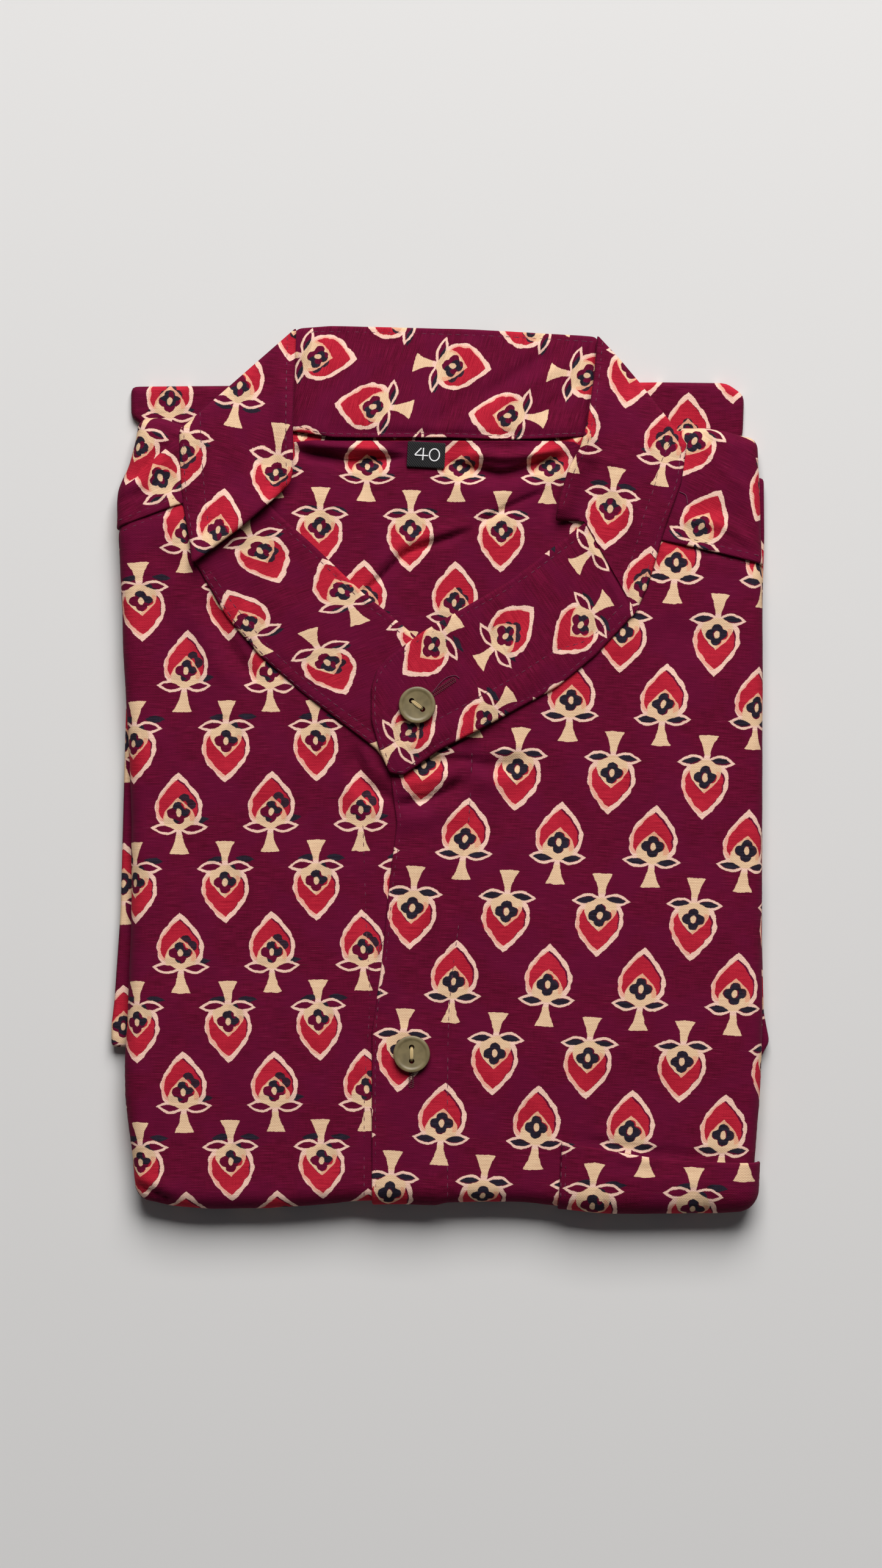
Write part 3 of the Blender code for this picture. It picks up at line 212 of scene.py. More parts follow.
# Creases laid one by one: a line, its height (a trough below nought), and its slopes' widths to the left and right
Crease = namedtuple("Crease", "line height left right")
CREASES = {
    "back_panel": (
        Crease(((-54.0, 111.8), (-40.8, 109.7), (-31.6, 108.3), (-20.3, 109.0), (-9.0, 109.2)), -3.3, 0.8, 2.6),
        Crease(((-54.0, 114.6), (-31.0, 112.3), (-13.0, 112.0)), 2.8, 1.6, 1.5),
        Crease(((0.0, 107.6), (12.1, 105.6), (20.6, 103.7), (27.7, 104.9), (33.3, 107.4), (46.0, 109.6)), -3.4, 0.9, 3.2),
        Crease(((6.0, 111.0), (14.0, 109.8), (26.0, 109.2), (46.0, 112.8)), 3.0, 1.9, 1.8),
        Crease(((-48.0, 116.2), (-20.0, 116.4), (4.0, 116.2), (28.0, 115.8), (48.0, 116.4)), 1.5, 2.6, 2.6),
        Crease(((-2.0, 101.0), (16.0, 96.8), (30.0, 99.4), (42.0, 103.0)), 0.8, 3.0, 4.5),
        Crease(((-31.0, 59.6), (-22.0, 66.0), (-12.0, 75.6), (-1.3, 79.6), (14.5, 84.9)), -2.0, 0.6, 1.8),
        Crease(((-28.0, 63.0), (-14.7, 77.6), (-1.0, 82.4), (13.5, 87.4)), 1.1, 2.2, 1.4),
        Crease(((10.0, 84.2), (24.8, 92.4), (38.0, 98.0)), -1.4, 0.6, 1.6),
        Crease(((-46.0, 98.0), (-34.0, 92.0), (-24.0, 94.0)), 0.5, 4.0, 5.0),
        Crease(((-12.0, 62.0), (-4.0, 44.0), (-8.0, 24.0)), -0.5, 4.0, 5.0),
    ),
    "yoke_right": (
        Crease(((80.0, 86.4), (93.5, 85.2), (101.2, 83.2), (112.6, 75.4)), 1.0, 2.6, 0.9),
        Crease(((90.5, 117.4), (98.8, 107.3), (105.4, 100.2), (110.7, 96.0)), 0.9, 1.0, 2.4),
        Crease(((89.0, 119.0), (97.0, 108.6), (104.0, 101.4), (110.0, 97.4)), -0.7, 2.0, 0.7),
        Crease(((86.0, 92.0), (96.0, 91.0), (106.0, 86.0)), -0.7, 4.0, 3.0),
    ),
    "yoke_left": (
        Crease(((-111.5, 98.2), (-105.5, 102.5), (-99.3, 109.1), (-96.6, 111.4), (-90.0, 117.5)), -1.0, 1.8, 0.45),
        Crease(((-110.0, 96.6), (-104.4, 101.0), (-98.2, 107.6), (-95.4, 110.2), (-89.0, 116.0)), 0.8, 0.8, 3.0),
        Crease(((-113.6, 92.6), (-107.4, 96.0), (-101.5, 97.9)), -0.9, 0.8, 1.6),
        Crease(((-101.0, 119.5), (-97.0, 115.0), (-92.0, 114.0)), 0.6, 2.0, 2.0),
        Crease(((-99.0, 104.5), (-94.0, 100.0), (-91.0, 94.5)), -0.5, 1.6, 2.4),
    ),
    "front_left": (
        Crease(((-82.0, 62.5), (-75.8, 48.0), (-67.4, 35.4), (-60.0, 29.0)), -1.6, 1.2, 3.4),
        Crease(((-88.0, 60.0), (-81.0, 42.0), (-71.0, 27.0)), 1.0, 3.5, 3.0),
        Crease(((-30.4, 10.0), (-26.6, -3.6), (-21.4, -7.8), (-13.0, -10.4)), -2.0, 1.3, 2.6),
        Crease(((-27.5, 9.0), (-23.4, 1.0), (-18.0, -4.2)), 1.0, 1.4, 2.4),
        Crease(((-33.6, 1.0), (-30.0, -10.0), (-20.0, -15.0)), 1.0, 3.0, 3.4),
        Crease(((-108.6, -144.7), (-102.1, -146.5), (-92.6, -151.4)), -1.5, 0.7, 1.7),
        Crease(((-108.6, -141.7), (-100.1, -143.9), (-90.6, -148.4)), 0.7, 2.0, 1.4),
        Crease(((-106.0, -6.0), (-92.0, -22.0), (-84.0, -44.0)), -0.6, 6.0, 8.0),
        Crease(((-60.0, -70.0), (-66.0, -100.0), (-60.0, -132.0)), 0.7, 9.0, 9.0),
        Crease(((-100.0, 70.0), (-94.0, 40.0), (-98.0, 8.0)), -0.8, 5.0, 7.0),
        Crease(((-40.0, 12.0), (-46.0, -12.0), (-42.0, -34.0)), -0.6, 5.0, 7.0),
        Crease(((-104.0, 78.0), (-96.0, 74.0), (-90.0, 66.0)), -0.7, 2.4, 3.4),
    ),
    "front_right": (
        Crease(((106.0, -135.4), (90.8, -135.2), (75.9, -134.2), (62.5, -132.0), (42.4, -128.4)), -1.3, 0.9, 1.6),
        Crease(((8.0, 3.9), (14.2, 2.4), (21.0, 1.6), (31.0, 3.6)), -1.9, 1.2, 2.6),
        Crease(((10.0, -3.4), (18.0, -4.2), (27.0, -3.0)), 0.9, 2.4, 3.6),
        Crease(((14.0, 8.0), (22.0, 7.2), (30.0, 9.0)), 0.8, 1.6, 2.0),
        Crease(((30.0, 10.0), (44.0, -14.0), (48.0, -44.0)), -0.55, 7.0, 9.0),
        Crease(((80.0, 40.0), (74.0, 4.0), (82.0, -36.0)), 0.65, 9.0, 9.0),
        Crease(((104.0, 30.0), (98.0, -10.0), (102.0, -60.0)), -0.55, 6.0, 8.0),
        Crease(((24.0, -60.0), (32.0, -92.0), (26.0, -124.0)), 0.6, 8.0, 8.0),
        Crease(((60.0, -100.0), (82.0, -112.0), (104.0, -110.0)), -0.55, 6.0, 8.0),
        Crease(((72.0, 52.0), (88.0, 46.0), (106.0, 52.0)), -0.6, 5.0, 7.0),
    ),
    "placket": (
        Crease(((-17.8, -11.1), (-12.2, -11.7), (-8.5, -10.7), (-2.1, -9.3), (2.6, -7.0), (9.0, -2.6)), -2.3, 1.0, 2.8),
        Crease(((-15.5, -6.0), (-6.8, -4.2), (3.0, -2.0), (10.0, 1.0)), 1.3, 1.8, 2.6),
        Crease(((-16.0, -16.6), (-5.0, -16.8), (7.0, -11.6)), 0.9, 2.6, 4.0),
        Crease(((-6.0, 2.6), (0.0, 3.2), (8.0, 3.4), (14.0, 2.4)), -1.6, 1.2, 1.6),
        Crease(((-12.0, -40.0), (-8.0, -62.0), (-12.0, -84.0)), -0.45, 4.0, 4.0),
        Crease(((-17.0, -93.0), (-10.0, -91.0), (-4.0, -93.0)), 0.5, 2.0, 2.0),
        Crease(((-18.0, -30.0), (-6.0, -33.0), (8.0, -31.0)), 0.4, 4.0, 5.0),
    ),
    "pocket": (
        Crease(((50.0, -141.0), (76.0, -143.5), (102.0, -144.0)), 0.5, 3.0, 3.0),
        Crease(((60.0, -134.6), (68.0, -136.6), (76.0, -137.2)), 0.5, 1.4, 1.6),
    ),
    "collar_back": (
        Crease(((12.0, 128.0), (26.0, 138.0), (42.0, 148.4)), -1.1, 2.2, 3.6),
        Crease(((18.0, 126.0), (33.0, 136.0), (48.0, 144.0)), 0.9, 3.0, 3.0),
        Crease(((-5.0, 119.6), (6.0, 127.0), (14.0, 137.0)), -0.8, 2.2, 3.4),
        Crease(((-40.0, 122.0), (-30.0, 135.0), (-32.0, 150.0)), 0.7, 5.0, 5.0),
        Crease(((30.0, 122.0), (40.0, 128.0), (50.0, 138.0)), -0.8, 2.0, 3.0),
        Crease(((-50.0, 119.4), (-20.0, 117.8), (20.0, 116.8), (48.0, 117.8)), -0.7, 1.5, 1.6),
    ),
    "collar_side_left": (
        Crease(((-56.0, 150.0), (-58.0, 126.0), (-56.0, 104.0)), 0.3, 6.0, 4.0),
        Crease(((-80.0, 88.0), (-68.0, 89.0), (-56.0, 97.0)), 1.0, 5.0, 5.0),
        Crease(((-84.0, 116.0), (-76.0, 106.0), (-74.0, 94.0)), -0.5, 4.0, 4.0),
        Crease(((-87.0, 84.0), (-80.0, 88.0), (-76.0, 96.0)), -0.7, 1.6, 2.4),
    ),
    "collar_side_right": (
        Crease(((49.5, 108.8), (56.0, 108.4), (62.4, 106.4)), 0.7, 0.9, 1.6),
        Crease(((62.0, 134.0), (70.0, 118.0), (74.0, 96.0)), 0.4, 6.0, 6.0),
        Crease(((56.0, 100.0), (62.0, 84.0), (68.0, 70.0)), -0.4, 4.0, 4.0),
    ),
    "collar_slant_left": (
        Crease(((-66.0, 66.0), (-44.0, 50.0), (-26.0, 34.0)), 0.4, 5.0, 5.0),
        Crease(((-22.0, 44.0), (-17.0, 30.0), (-15.0, 14.0)), -0.5, 3.0, 2.0),
        Crease(((-52.0, 80.0), (-60.0, 66.0), (-72.0, 56.0)), -0.4, 3.0, 4.0),
    ),
    "collar_tab": (
        Crease(((50.3, 84.3), (57.3, 70.9), (62.4, 59.6), (64.6, 51.6)), 0.8, 0.5, 2.2),
        Crease(((51.6, 85.4), (58.4, 71.8), (63.8, 60.6), (66.4, 52.6)), -0.7, 1.2, 0.5),
        Crease(((0.0, 34.0), (16.0, 44.0), (36.0, 58.0)), -0.4, 4.0, 5.0),
        Crease(((8.0, 20.0), (24.0, 28.0), (40.0, 40.0)), 0.5, 4.0, 4.0),
        Crease(((-16.0, 8.0), (-6.0, 9.0), (6.0, 16.0)), 0.5, 3.0, 3.0),
    ),
}
UNDER_PLACKET = ("front_left", "front_right")

# Lines of sewing on each cut, in millimetres: each pulls the cloth down a little, and puckers it
SEWING = {
    "front_left": (
        ((-27.1, -17.5), (-26.4, -38.0), (-25.6, -60.6), (-24.6, -80.2), (-26.4, -112.0), (-26.6, -148.0)),
        ((-110.0, 83.6), (-99.0, 88.2), (-92.0, 91.0)),
    ),
    "front_right": (
        ((80.0, 78.4), (91.6, 75.6), (108.0, 71.4)),
    ),
    "yoke_left": (
        ((-111.4, 87.2), (-101.0, 91.4), (-93.0, 94.6)),
    ),
    "yoke_right": (
        ((80.4, 81.9), (91.6, 79.3), (110.0, 74.8)),
    ),
    "placket": (
        ((11.2, 11.0), (10.2, -13.0), (7.7, -43.0), (3.3, -80.0), (2.5, -110.0), (2.5, -148.0)),
        ((-16.3, -2.4), (-13.9, -19.0), (-16.3, -38.0), (-19.2, -68.0), (-22.5, -92.0), (-22.5, -148.0)),
    ),
    "pocket": (
        ((42.2, -131.0), (41.9, -148.0)),
        ((43.7, -131.6), (43.4, -148.0)),
    ),
    "back_panel": (),
    "collar_back": (
        ((-47.0, 152.6), (-38.6, 153.1), (10.0, 151.9), (53.0, 149.6)),
        ((-49.0, 119.6), (-37.3, 117.2), (2.9, 117.2), (23.5, 116.4), (49.0, 117.4)),
    ),
    "collar_side_left": (
        ((-53.6, 150.4), (-53.9, 122.0), (-53.6, 100.0)),
        ((-83.9, 123.6), (-83.2, 108.0), (-81.8, 92.0), (-80.4, 82.0)),
        ((-89.5, 116.0), (-89.5, 108.0), (-88.5, 94.0), (-86.6, 82.0)),
    ),
    "collar_side_right": (
        ((56.6, 148.6), (55.4, 137.0), (53.0, 121.0), (50.4, 111.0), (46.8, 104.2), (43.0, 92.6)),
        ((81.0, 116.3), (76.4, 105.5), (74.4, 97.8), (71.4, 89.8), (69.0, 80.5), (65.8, 70.6)),
        ((84.0, 112.0), (82.2, 99.6), (77.0, 85.4), (70.8, 64.6)),
    ),
    "collar_slant_left": (
        ((-58.6, 87.6), (-46.4, 76.8), (-28.2, 59.4), (-19.2, 52.2), (-14.6, 48.0)),
        ((-80.2, 68.6), (-70.0, 54.6), (-58.4, 41.4), (-44.4, 28.6), (-25.0, 13.8), (-20.4, 10.2)),
        ((-82.6, 69.0), (-72.9, 53.0), (-61.3, 39.4), (-47.2, 27.0), (-24.0, 9.7)),
    ),
    "collar_tab": (
        ((62.7, 56.5), (52.0, 45.6), (39.7, 40.9), (23.3, 30.6), (-3.9, 15.7), (-20.6, 7.2)),
        ((50.6, 82.4), (26.0, 64.4), (7.4, 53.4), (-6.0, 45.8), (-11.8, 41.4), (-17.6, 37.4), (-20.8, 33.4),
         (-22.6, 28.0), (-22.6, 17.2), (-19.8, 7.4), (-16.8, 0.2), (-12.6, -0.4), (-1.2, 8.4), (12.6, 15.2),
         (39.6, 30.2), (52.8, 41.2), (66.4, 55.0)),
    ),
}


def smooth(low, high, value):
    """0 below low, 1 above high, and an even ease between them."""
    t = np.clip((value - low) / (high - low), 0.0, 1.0)
    return t * t * (3.0 - 2.0 * t)


def read_table(rows, along):
    """The smooth curve through a table's rows, held level past its ends."""
    xs, ys = np.array(sorted(rows)).T
    along = np.clip(along, xs[0], xs[-1])
    slopes = np.empty(len(xs))
    slopes[1:-1] = (ys[2:] - ys[:-2]) / (xs[2:] - xs[:-2])
    slopes[0] = (ys[1] - ys[0]) / (xs[1] - xs[0])
    slopes[-1] = (ys[-1] - ys[-2]) / (xs[-1] - xs[-2])
    i = np.clip(np.searchsorted(xs, along, side="right") - 1, 0, len(xs) - 2)
    span = xs[i + 1] - xs[i]
    t = (along - xs[i]) / span
    first = (1 + 2 * t) * (1 - t) ** 2 * ys[i] + t * (1 - t) ** 2 * span * slopes[i]
    second = t * t * (3 - 2 * t) * ys[i + 1] + t * t * (t - 1) * span * slopes[i + 1]
    return first + second


def plain_height(x, y):
    """The fronts' outer face away from the folds, with no neck opening."""
    return read_table(HEIGHT, y) - CROSS_BOW * (x / HALF_WIDTH) ** 2


def neck_dip(x, y):
    """How far the cloth behind the neck opening lies below the fronts."""
    reach = np.sqrt(smooth(NECK_DIP_START_Y, NECK_DIP_END_Y, y)) * NECK_HALF_WIDTH
    within = 1.0 - np.abs(x - NECK_CENTRE_X) / np.maximum(reach, 1.0)
    return np.where(reach < 1.0, 0.0, NECK_DIP * smooth(0.0, 0.6, within))


def roll_radius(y):
    return read_table(ROLL_RADIUS, y)


def fold_start(side, along):
    """Where one side's fold starts to roll, across the packet."""
    if side == "left":
        return read_table(LEFT_FOLD, along) + roll_radius(along)
    if side == "right":
        return read_table(RIGHT_FOLD, along) - roll_radius(along)
    fold = read_table(BOTTOM_FOLD if side == "bottom" else SHOULDER_FOLD, along)
    return fold + roll_radius(fold) * (1.0 if side == "bottom" else -1.0)


def corner_centre(side, level):
    """The point where the rolls of two neighbouring folds start."""
    x = -100.0 if side == "left" else 100.0
    y = -145.0 if level == "bottom" else 115.0
    for _ in range(4):
        x = float(fold_start(side, y))
        y = float(fold_start(level, x))
    return x, y


CORNERS = {(side, level): corner_centre(side, level)
           for side in ("left", "right") for level in ("bottom", "top")}


def past_folds(x, y):
    """How far places on the laid-out cloth lie past the start of the folds, in X and Y."""
    left, bottom = x < 0.0, y < 0.0
    low_y = np.where(left, CORNERS["left", "bottom"][1], CORNERS["right", "bottom"][1])
    high_y = np.where(left, CORNERS["left", "top"][1], CORNERS["right", "top"][1])
    low_x = np.where(bottom, CORNERS["left", "bottom"][0], CORNERS["left", "top"][0])
    high_x = np.where(bottom, CORNERS["right", "bottom"][0], CORNERS["right", "top"][0])
    held_y, held_x = np.clip(y, low_y, high_y), np.clip(x, low_x, high_x)
    past_x = np.where(left, np.minimum(0.0, x - fold_start("left", held_y)),
                      np.maximum(0.0, x - fold_start("right", held_y)))
    past_y = np.where(bottom, np.minimum(0.0, y - fold_start("bottom", held_x)),
                      np.maximum(0.0, y - fold_start("top", held_x)))
    return past_x, past_y


def cloth_points(places, lift):
    """Where places on the laid-out cloth go once the folds are rolled, lift above the fronts."""
    x, y = places[:, 0], places[:, 1]
    past_x, past_y = past_folds(x, y)
    base_x, base_y = x - past_x, y - past_y
    height = plain_height(base_x, base_y) - neck_dip(base_x, base_y)
    past = np.hypot(past_x, past_y)
    flat = past < 1e-6
    safe = np.where(flat, 1.0, past)
    radius = roll_radius(base_y)
    angle = past / radius
    reach = (radius + lift) * np.sin(angle)
    rise = (radius + lift) * np.cos(angle) - radius
    return np.stack([
        np.where(flat, x, base_x + past_x / safe * reach),
        np.where(flat, y, base_y + past_y / safe * reach),
        height + np.where(flat, lift, rise),
    ], axis=1)


def band_points(places, lift):
    """Places on the collar band, which bridges the neck opening and stands out past the shoulders."""
    x, y = places[:, 0], places[:, 1]
    return np.stack([x, y, plain_height(x, y) + lift], axis=1)


def hashed(i, j, seed):
    value = np.sin(i * 127.1 + j * 311.7 + seed * 74.7) * 43758.5453
    return value - np.floor(value)


def noise(places, size, seed):
    """Soft bumps from -1 to 1, of about one size, in millimetres."""
    grid = places / size
    cell = np.floor(grid)
    t = grid - cell
    t = t * t * (3.0 - 2.0 * t)
    i, j = cell[:, 0], cell[:, 1]
    low = hashed(i, j, seed) * (1 - t[:, 0]) + hashed(i + 1, j, seed) * t[:, 0]
    high = hashed(i, j + 1, seed) * (1 - t[:, 0]) + hashed(i + 1, j + 1, seed) * t[:, 0]
    return 2.0 * (low * (1 - t[:, 1]) + high * t[:, 1]) - 1.0


def through(points, pitch):
    """A smooth line through a few points, at an even pitch."""
    points = np.array(points, float)
    if len(points) > 2:
        ends = np.vstack([2 * points[0] - points[1], points, 2 * points[-1] - points[-2]])
        a, b, c, d = ends[:-3, None], ends[1:-2, None], ends[2:-1, None], ends[3:, None]
        t = np.linspace(0.0, 1.0, 13)[None, :-1, None]
        bend = 0.5 * (2 * b + (c - a) * t + (2 * a - 5 * b + 4 * c - d) * t ** 2
                      + (3 * b - a - 3 * c + d) * t ** 3)
        points = np.vstack([bend.reshape(-1, points.shape[1]), points[-1:]])
    runs = np.linalg.norm(np.diff(points, axis=0), axis=1)
    lengths = np.concatenate([[0.0], np.cumsum(runs)])
    at = np.linspace(0.0, lengths[-1], max(2, round(lengths[-1] / pitch) + 1))
    return np.stack([np.interp(at, lengths, points[:, k]) for k in range(points.shape[1])], axis=1)


def beside(places, line):
    """Each place's distance to a line, the side that it is on (1 is left), and its share along the line."""
    near = np.full(len(places), 1e9)
    side = np.ones(len(places))
    share = np.zeros(len(places))
    runs = np.diff(line, axis=0)
    lengths = np.linalg.norm(runs, axis=1)
    before = np.concatenate([[0.0], np.cumsum(lengths)])
    for start, run, length, done in zip(line, runs, lengths, before):
        offset = places - start
        t = np.clip(offset @ run / length ** 2, 0.0, 1.0)
        gap = offset - t[:, None] * run
        distance = np.hypot(gap[:, 0], gap[:, 1])
        closer = distance < near
        near = np.where(closer, distance, near)
        turn = run[0] * offset[:, 1] - run[1] * offset[:, 0]
        side = np.where(closer, np.where(turn >= 0, 1.0, -1.0), side)
        share = np.where(closer, (done + t * length) / before[-1], share)
    return near, side, share


def creased(places, creases, strength):
    """The rise of the creases at each place."""
    rise = np.zeros(len(places))
    for crease in creases:
        near, side, share = beside(places, through(crease.line, 2.0))
        width = np.where(side > 0, crease.left, crease.right)
        ends = smooth(0.0, 0.25, share) * smooth(0.0, 0.25, 1.0 - share)
        rise += crease.height * strength * ends * np.exp(-(near / width) ** 2)
    return rise


def sewn(places, lines, seed):
    """The dent of each line of sewing, with the uneven ripples that its thread pulls."""
    rise = np.zeros(len(places))
    for order, line in enumerate(lines):
        near, _, share = beside(places, through(line, 2.0))
        length = np.linalg.norm(np.diff(np.array(line), axis=0), axis=1).sum()
        along = np.stack([share * length, np.zeros(len(places))], axis=1)
        ripple = noise(along, 4.2, seed + order) * 0.6 + noise(along, 9.0, seed + order + 40) * 0.4
        rise -= 0.32 * np.exp(-(near / 0.7) ** 2)
        rise += 0.34 * ripple * np.exp(-(near / 3.0) ** 2)
    return rise


def rumpled(places, seed):
    """The cloth's slight unevenness, broad swells first."""
    broad = noise(places * (1.0, 0.7), 31.0, seed) * 0.45 + noise(places, 14.0, seed + 3) * 0.2
    return broad + noise(places * (0.8, 1.2), 5.5, seed + 5) * 0.06


def packet_frames():
    """Right round the packet from the bottom left: where each fold starts, the way out, and the roll's radius."""
    corners = [CORNERS["left", "bottom"], CORNERS["right", "bottom"], CORNERS["right", "top"],
               CORNERS["left", "top"]]
    bases, outs = [], []
    for k, side in enumerate(("bottom", "right", "top", "left")):
        centre, after = corners[k], corners[(k + 1) % 4]
        axis = 0 if side in ("bottom", "top") else 1
        along = np.linspace(centre[axis], after[axis], 90)
        start = fold_start(side, along)
        bases += list(zip(start, along)) if axis else list(zip(along, start))
        first = math.radians(-90.0 + 90.0 * k)
        outs += [(round(math.cos(first)), round(math.sin(first)))] * len(along)
        for turn in first + np.radians([15.0, 30.0, 45.0, 60.0, 75.0]):
            bases.append(after)
            outs.append((math.cos(turn), math.sin(turn)))
    bases = np.array(bases)
    return bases, np.array(outs), roll_radius(bases[:, 1])


def hem_place(side, along):
    """The laid-out cloth's own edge, under one side's fold."""
    start = float(fold_start(side, along))
    if side in ("left", "right"):
        reach = WRAP_ANGLE * float(roll_radius(along))
        return (start + (reach if side == "right" else -reach), along)
    reach = WRAP_ANGLE * float(roll_radius(start))
    return (along, start + (reach if side == "top" else -reach))


def hem_run(first, last):
    """The laid-out cloth's edge between two places on it, counter-clockwise."""
    bases, outs, radii = packet_frames()
    edge = bases + outs * (WRAP_ANGLE * radii)[:, None]
    begin = int(np.argmin(np.hypot(*(edge - first).T)))
    end = int(np.argmin(np.hypot(*(edge - last).T)))
    if end <= begin:
        end += len(edge)
    return [first] + [tuple(edge[k % len(edge)]) for k in range(begin + 1, end)] + [last]


def moved_sideways(line, distance):
    """A line of places moved to its left as it runs."""
    points = np.array(line, float)
    runs = np.gradient(points, axis=0)
    runs /= np.linalg.norm(runs, axis=1)[:, None]
    return [tuple(p) for p in points + np.stack([-runs[:, 1], runs[:, 0]], axis=1) * distance]


def below(line, level):
    """The part of a falling line of places below a level, starting on it."""
    kept = []
    for before, after in zip(line, line[1:]):
        if before[1] > level >= after[1]:
            t = (before[1] - level) / (before[1] - after[1])
            kept.append((before[0] + (after[0] - before[0]) * t, level))
        if after[1] < level:
            kept.append(tuple(after))
    return kept


def area_of(outline):
    x, y = np.array(outline).T
    return 0.5 * float(np.sum(x * np.roll(y, -1) - np.roll(x, -1) * y))


def divided(outline, pitch):
    """A closed outline, counter-clockwise, with its sides cut short."""
    points = np.array(outline, float)
    if area_of(points) < 0:
        points = points[::-1]
    cut = []
    for start, end in zip(points, np.roll(points, -1, axis=0)):
        count = max(1, round(float(np.hypot(*(end - start))) / pitch))
        cut += [start + (end - start) * k / count for k in range(count)]
    cut = np.array(cut)
    keep = np.hypot(*(cut - np.roll(cut, 1, axis=0)).T) > pitch * 0.2
    return cut[keep]


def softened(outline, rounds):
    """An outline with its corners worn round."""
    points = outline.copy()
    for _ in range(rounds):
        points = 0.5 * points + 0.25 * (np.roll(points, 1, axis=0) + np.roll(points, -1, axis=0))
    return points


def inside(outline, places):
    """True for the places within a closed outline."""
    hit = np.zeros(len(places), bool)
    x, y = places[:, 0], places[:, 1]
    for (x0, y0), (x1, y1) in zip(outline, np.roll(outline, -1, axis=0)):
        if y0 != y1:
            crosses = ((y0 > y) != (y1 > y)) & (x < (x1 - x0) * (y - y0) / (y1 - y0) + x0)
            hit ^= crosses
    return hit


def edge_distance(outline, places):
    closed = np.vstack([outline, outline[:1]])
    return beside(places, closed)[0]


def filled(border, pitch, rows, fold=()):
    """Places in close rows inside an outline, along a fold and evenly over it, and the triangles between them."""
    places = [border]
    if len(fold):
        along = through(fold, 0.5)
        along = along[inside(border, along)]
        places.append(along[edge_distance(border, along) > 0.2])
    for row in rows:
        out = np.roll(border, -1, axis=0) - np.roll(border, 1, axis=0)
        out /= np.linalg.norm(out, axis=1)[:, None]
        inner = border + np.stack([-out[:, 1], out[:, 0]], axis=1) * row
        keep = inside(border, inner) & (edge_distance(border, inner) > row * 0.93)
        places.append(inner[keep])
    low, high = border.min(axis=0), border.max(axis=0)
    xs, ys = np.meshgrid(np.arange(low[0], high[0], pitch), np.arange(low[1], high[1], pitch * 0.866))
    xs[1::2] += pitch / 2
    grid = np.stack([xs.ravel(), ys.ravel()], axis=1)
    grid = grid[inside(border, grid)]
    grid = grid[edge_distance(border, grid) > rows[-1] + pitch * 0.45]
    if len(fold):
        grid = grid[beside(grid, along)[0] > pitch * 0.45]
    points = np.vstack(places + [grid])
    made, _, faces, origin, _, _ = delaunay_2d_cdt(
        [tuple(p) for p in points], [], [list(range(len(border)))], 1, 1e-5)
    rim = {source: k for k, sources in enumerate(origin) for source in sources if source < len(border)}
    return np.array([tuple(p) for p in made]), faces, [rim[k] for k in range(len(border))]


def new_mesh(name, points, faces, material):
    """A smooth-shaded object in the scene, from points in millimetres."""
    mesh = bpy.data.meshes.new(name)
    mesh.from_pydata((np.asarray(points) * MM).tolist(), [], faces)
    mesh.materials.append(material)
    mesh.shade_smooth()
    made = bpy.data.objects.new(name, mesh)
    bpy.context.scene.collection.objects.link(made)
    return made


def in_repeat(look, places):
    """Each place's position in a print's repeat, and how far its blocks slipped, in millimetres."""
    basis = np.array([look.across, look.up]).T
    at = (places - np.array(look.origin)) @ np.linalg.inv(basis).T * REPEAT
    drift = np.stack([noise(places, 60.0, 5), noise(places, 60.0, 9)], axis=1) * 0.5
    unit = np.linalg.inv(basis / np.linalg.norm(basis, axis=0)).T
    slip = (np.array(look.dark) + drift) @ unit
    return np.column_stack([at, np.zeros(len(at))]), np.column_stack([slip, np.full(len(at), look.red[0])])


def lay_print(made, places, name):
    """Stores each face corner's place in the print's repeat, and how far the blocks slipped, in millimetres."""
    mesh = made.data
    pulled = places.copy()
    for pull in PULLS.get(name, ()):
        near = np.exp(-(np.hypot(*(places - pull.place).T) / pull.reach) ** 2)
        pulled -= near[:, None] * pull.by
    corners = np.zeros(len(mesh.loops), int)
    mesh.loops.foreach_get("vertex_index", corners)
    spread, slips = [values[corners] for values in in_repeat(PRINTS[name], pulled)]
    if name in FOLDS:
        line, look = FOLDS[name]
        totals = np.zeros(len(mesh.polygons), int)
        mesh.polygons.foreach_get("loop_total", totals)
        faces = np.repeat(np.arange(len(totals)), totals)
        middles = np.stack([np.bincount(faces, places[corners][:, k]) / totals for k in range(2)], axis=1)
        beyond = (beside(middles, np.array(line))[1] > 0)[faces]
        for ours, theirs in zip((spread, slips), in_repeat(look, places)):
            ours[beyond] = theirs[corners][beyond]
    for key, values in (("print_mm", spread), ("slip_mm", slips)):
        mesh.attributes.new(key, "FLOAT_VECTOR", "CORNER").data.foreach_set("vector", values.ravel())


def record_piece(made, nodes):
    """Ties a finished piece to the packed frame."""
    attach(made, "root")
    if nodes:
        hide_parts(*nodes)
    return made


Cut = namedtuple("Cut", "name outline surface base wall roll rim pitch corners joined",
                 defaults=(1.0, 0.25, 1.8, 1, ()))
SURFACES = {}


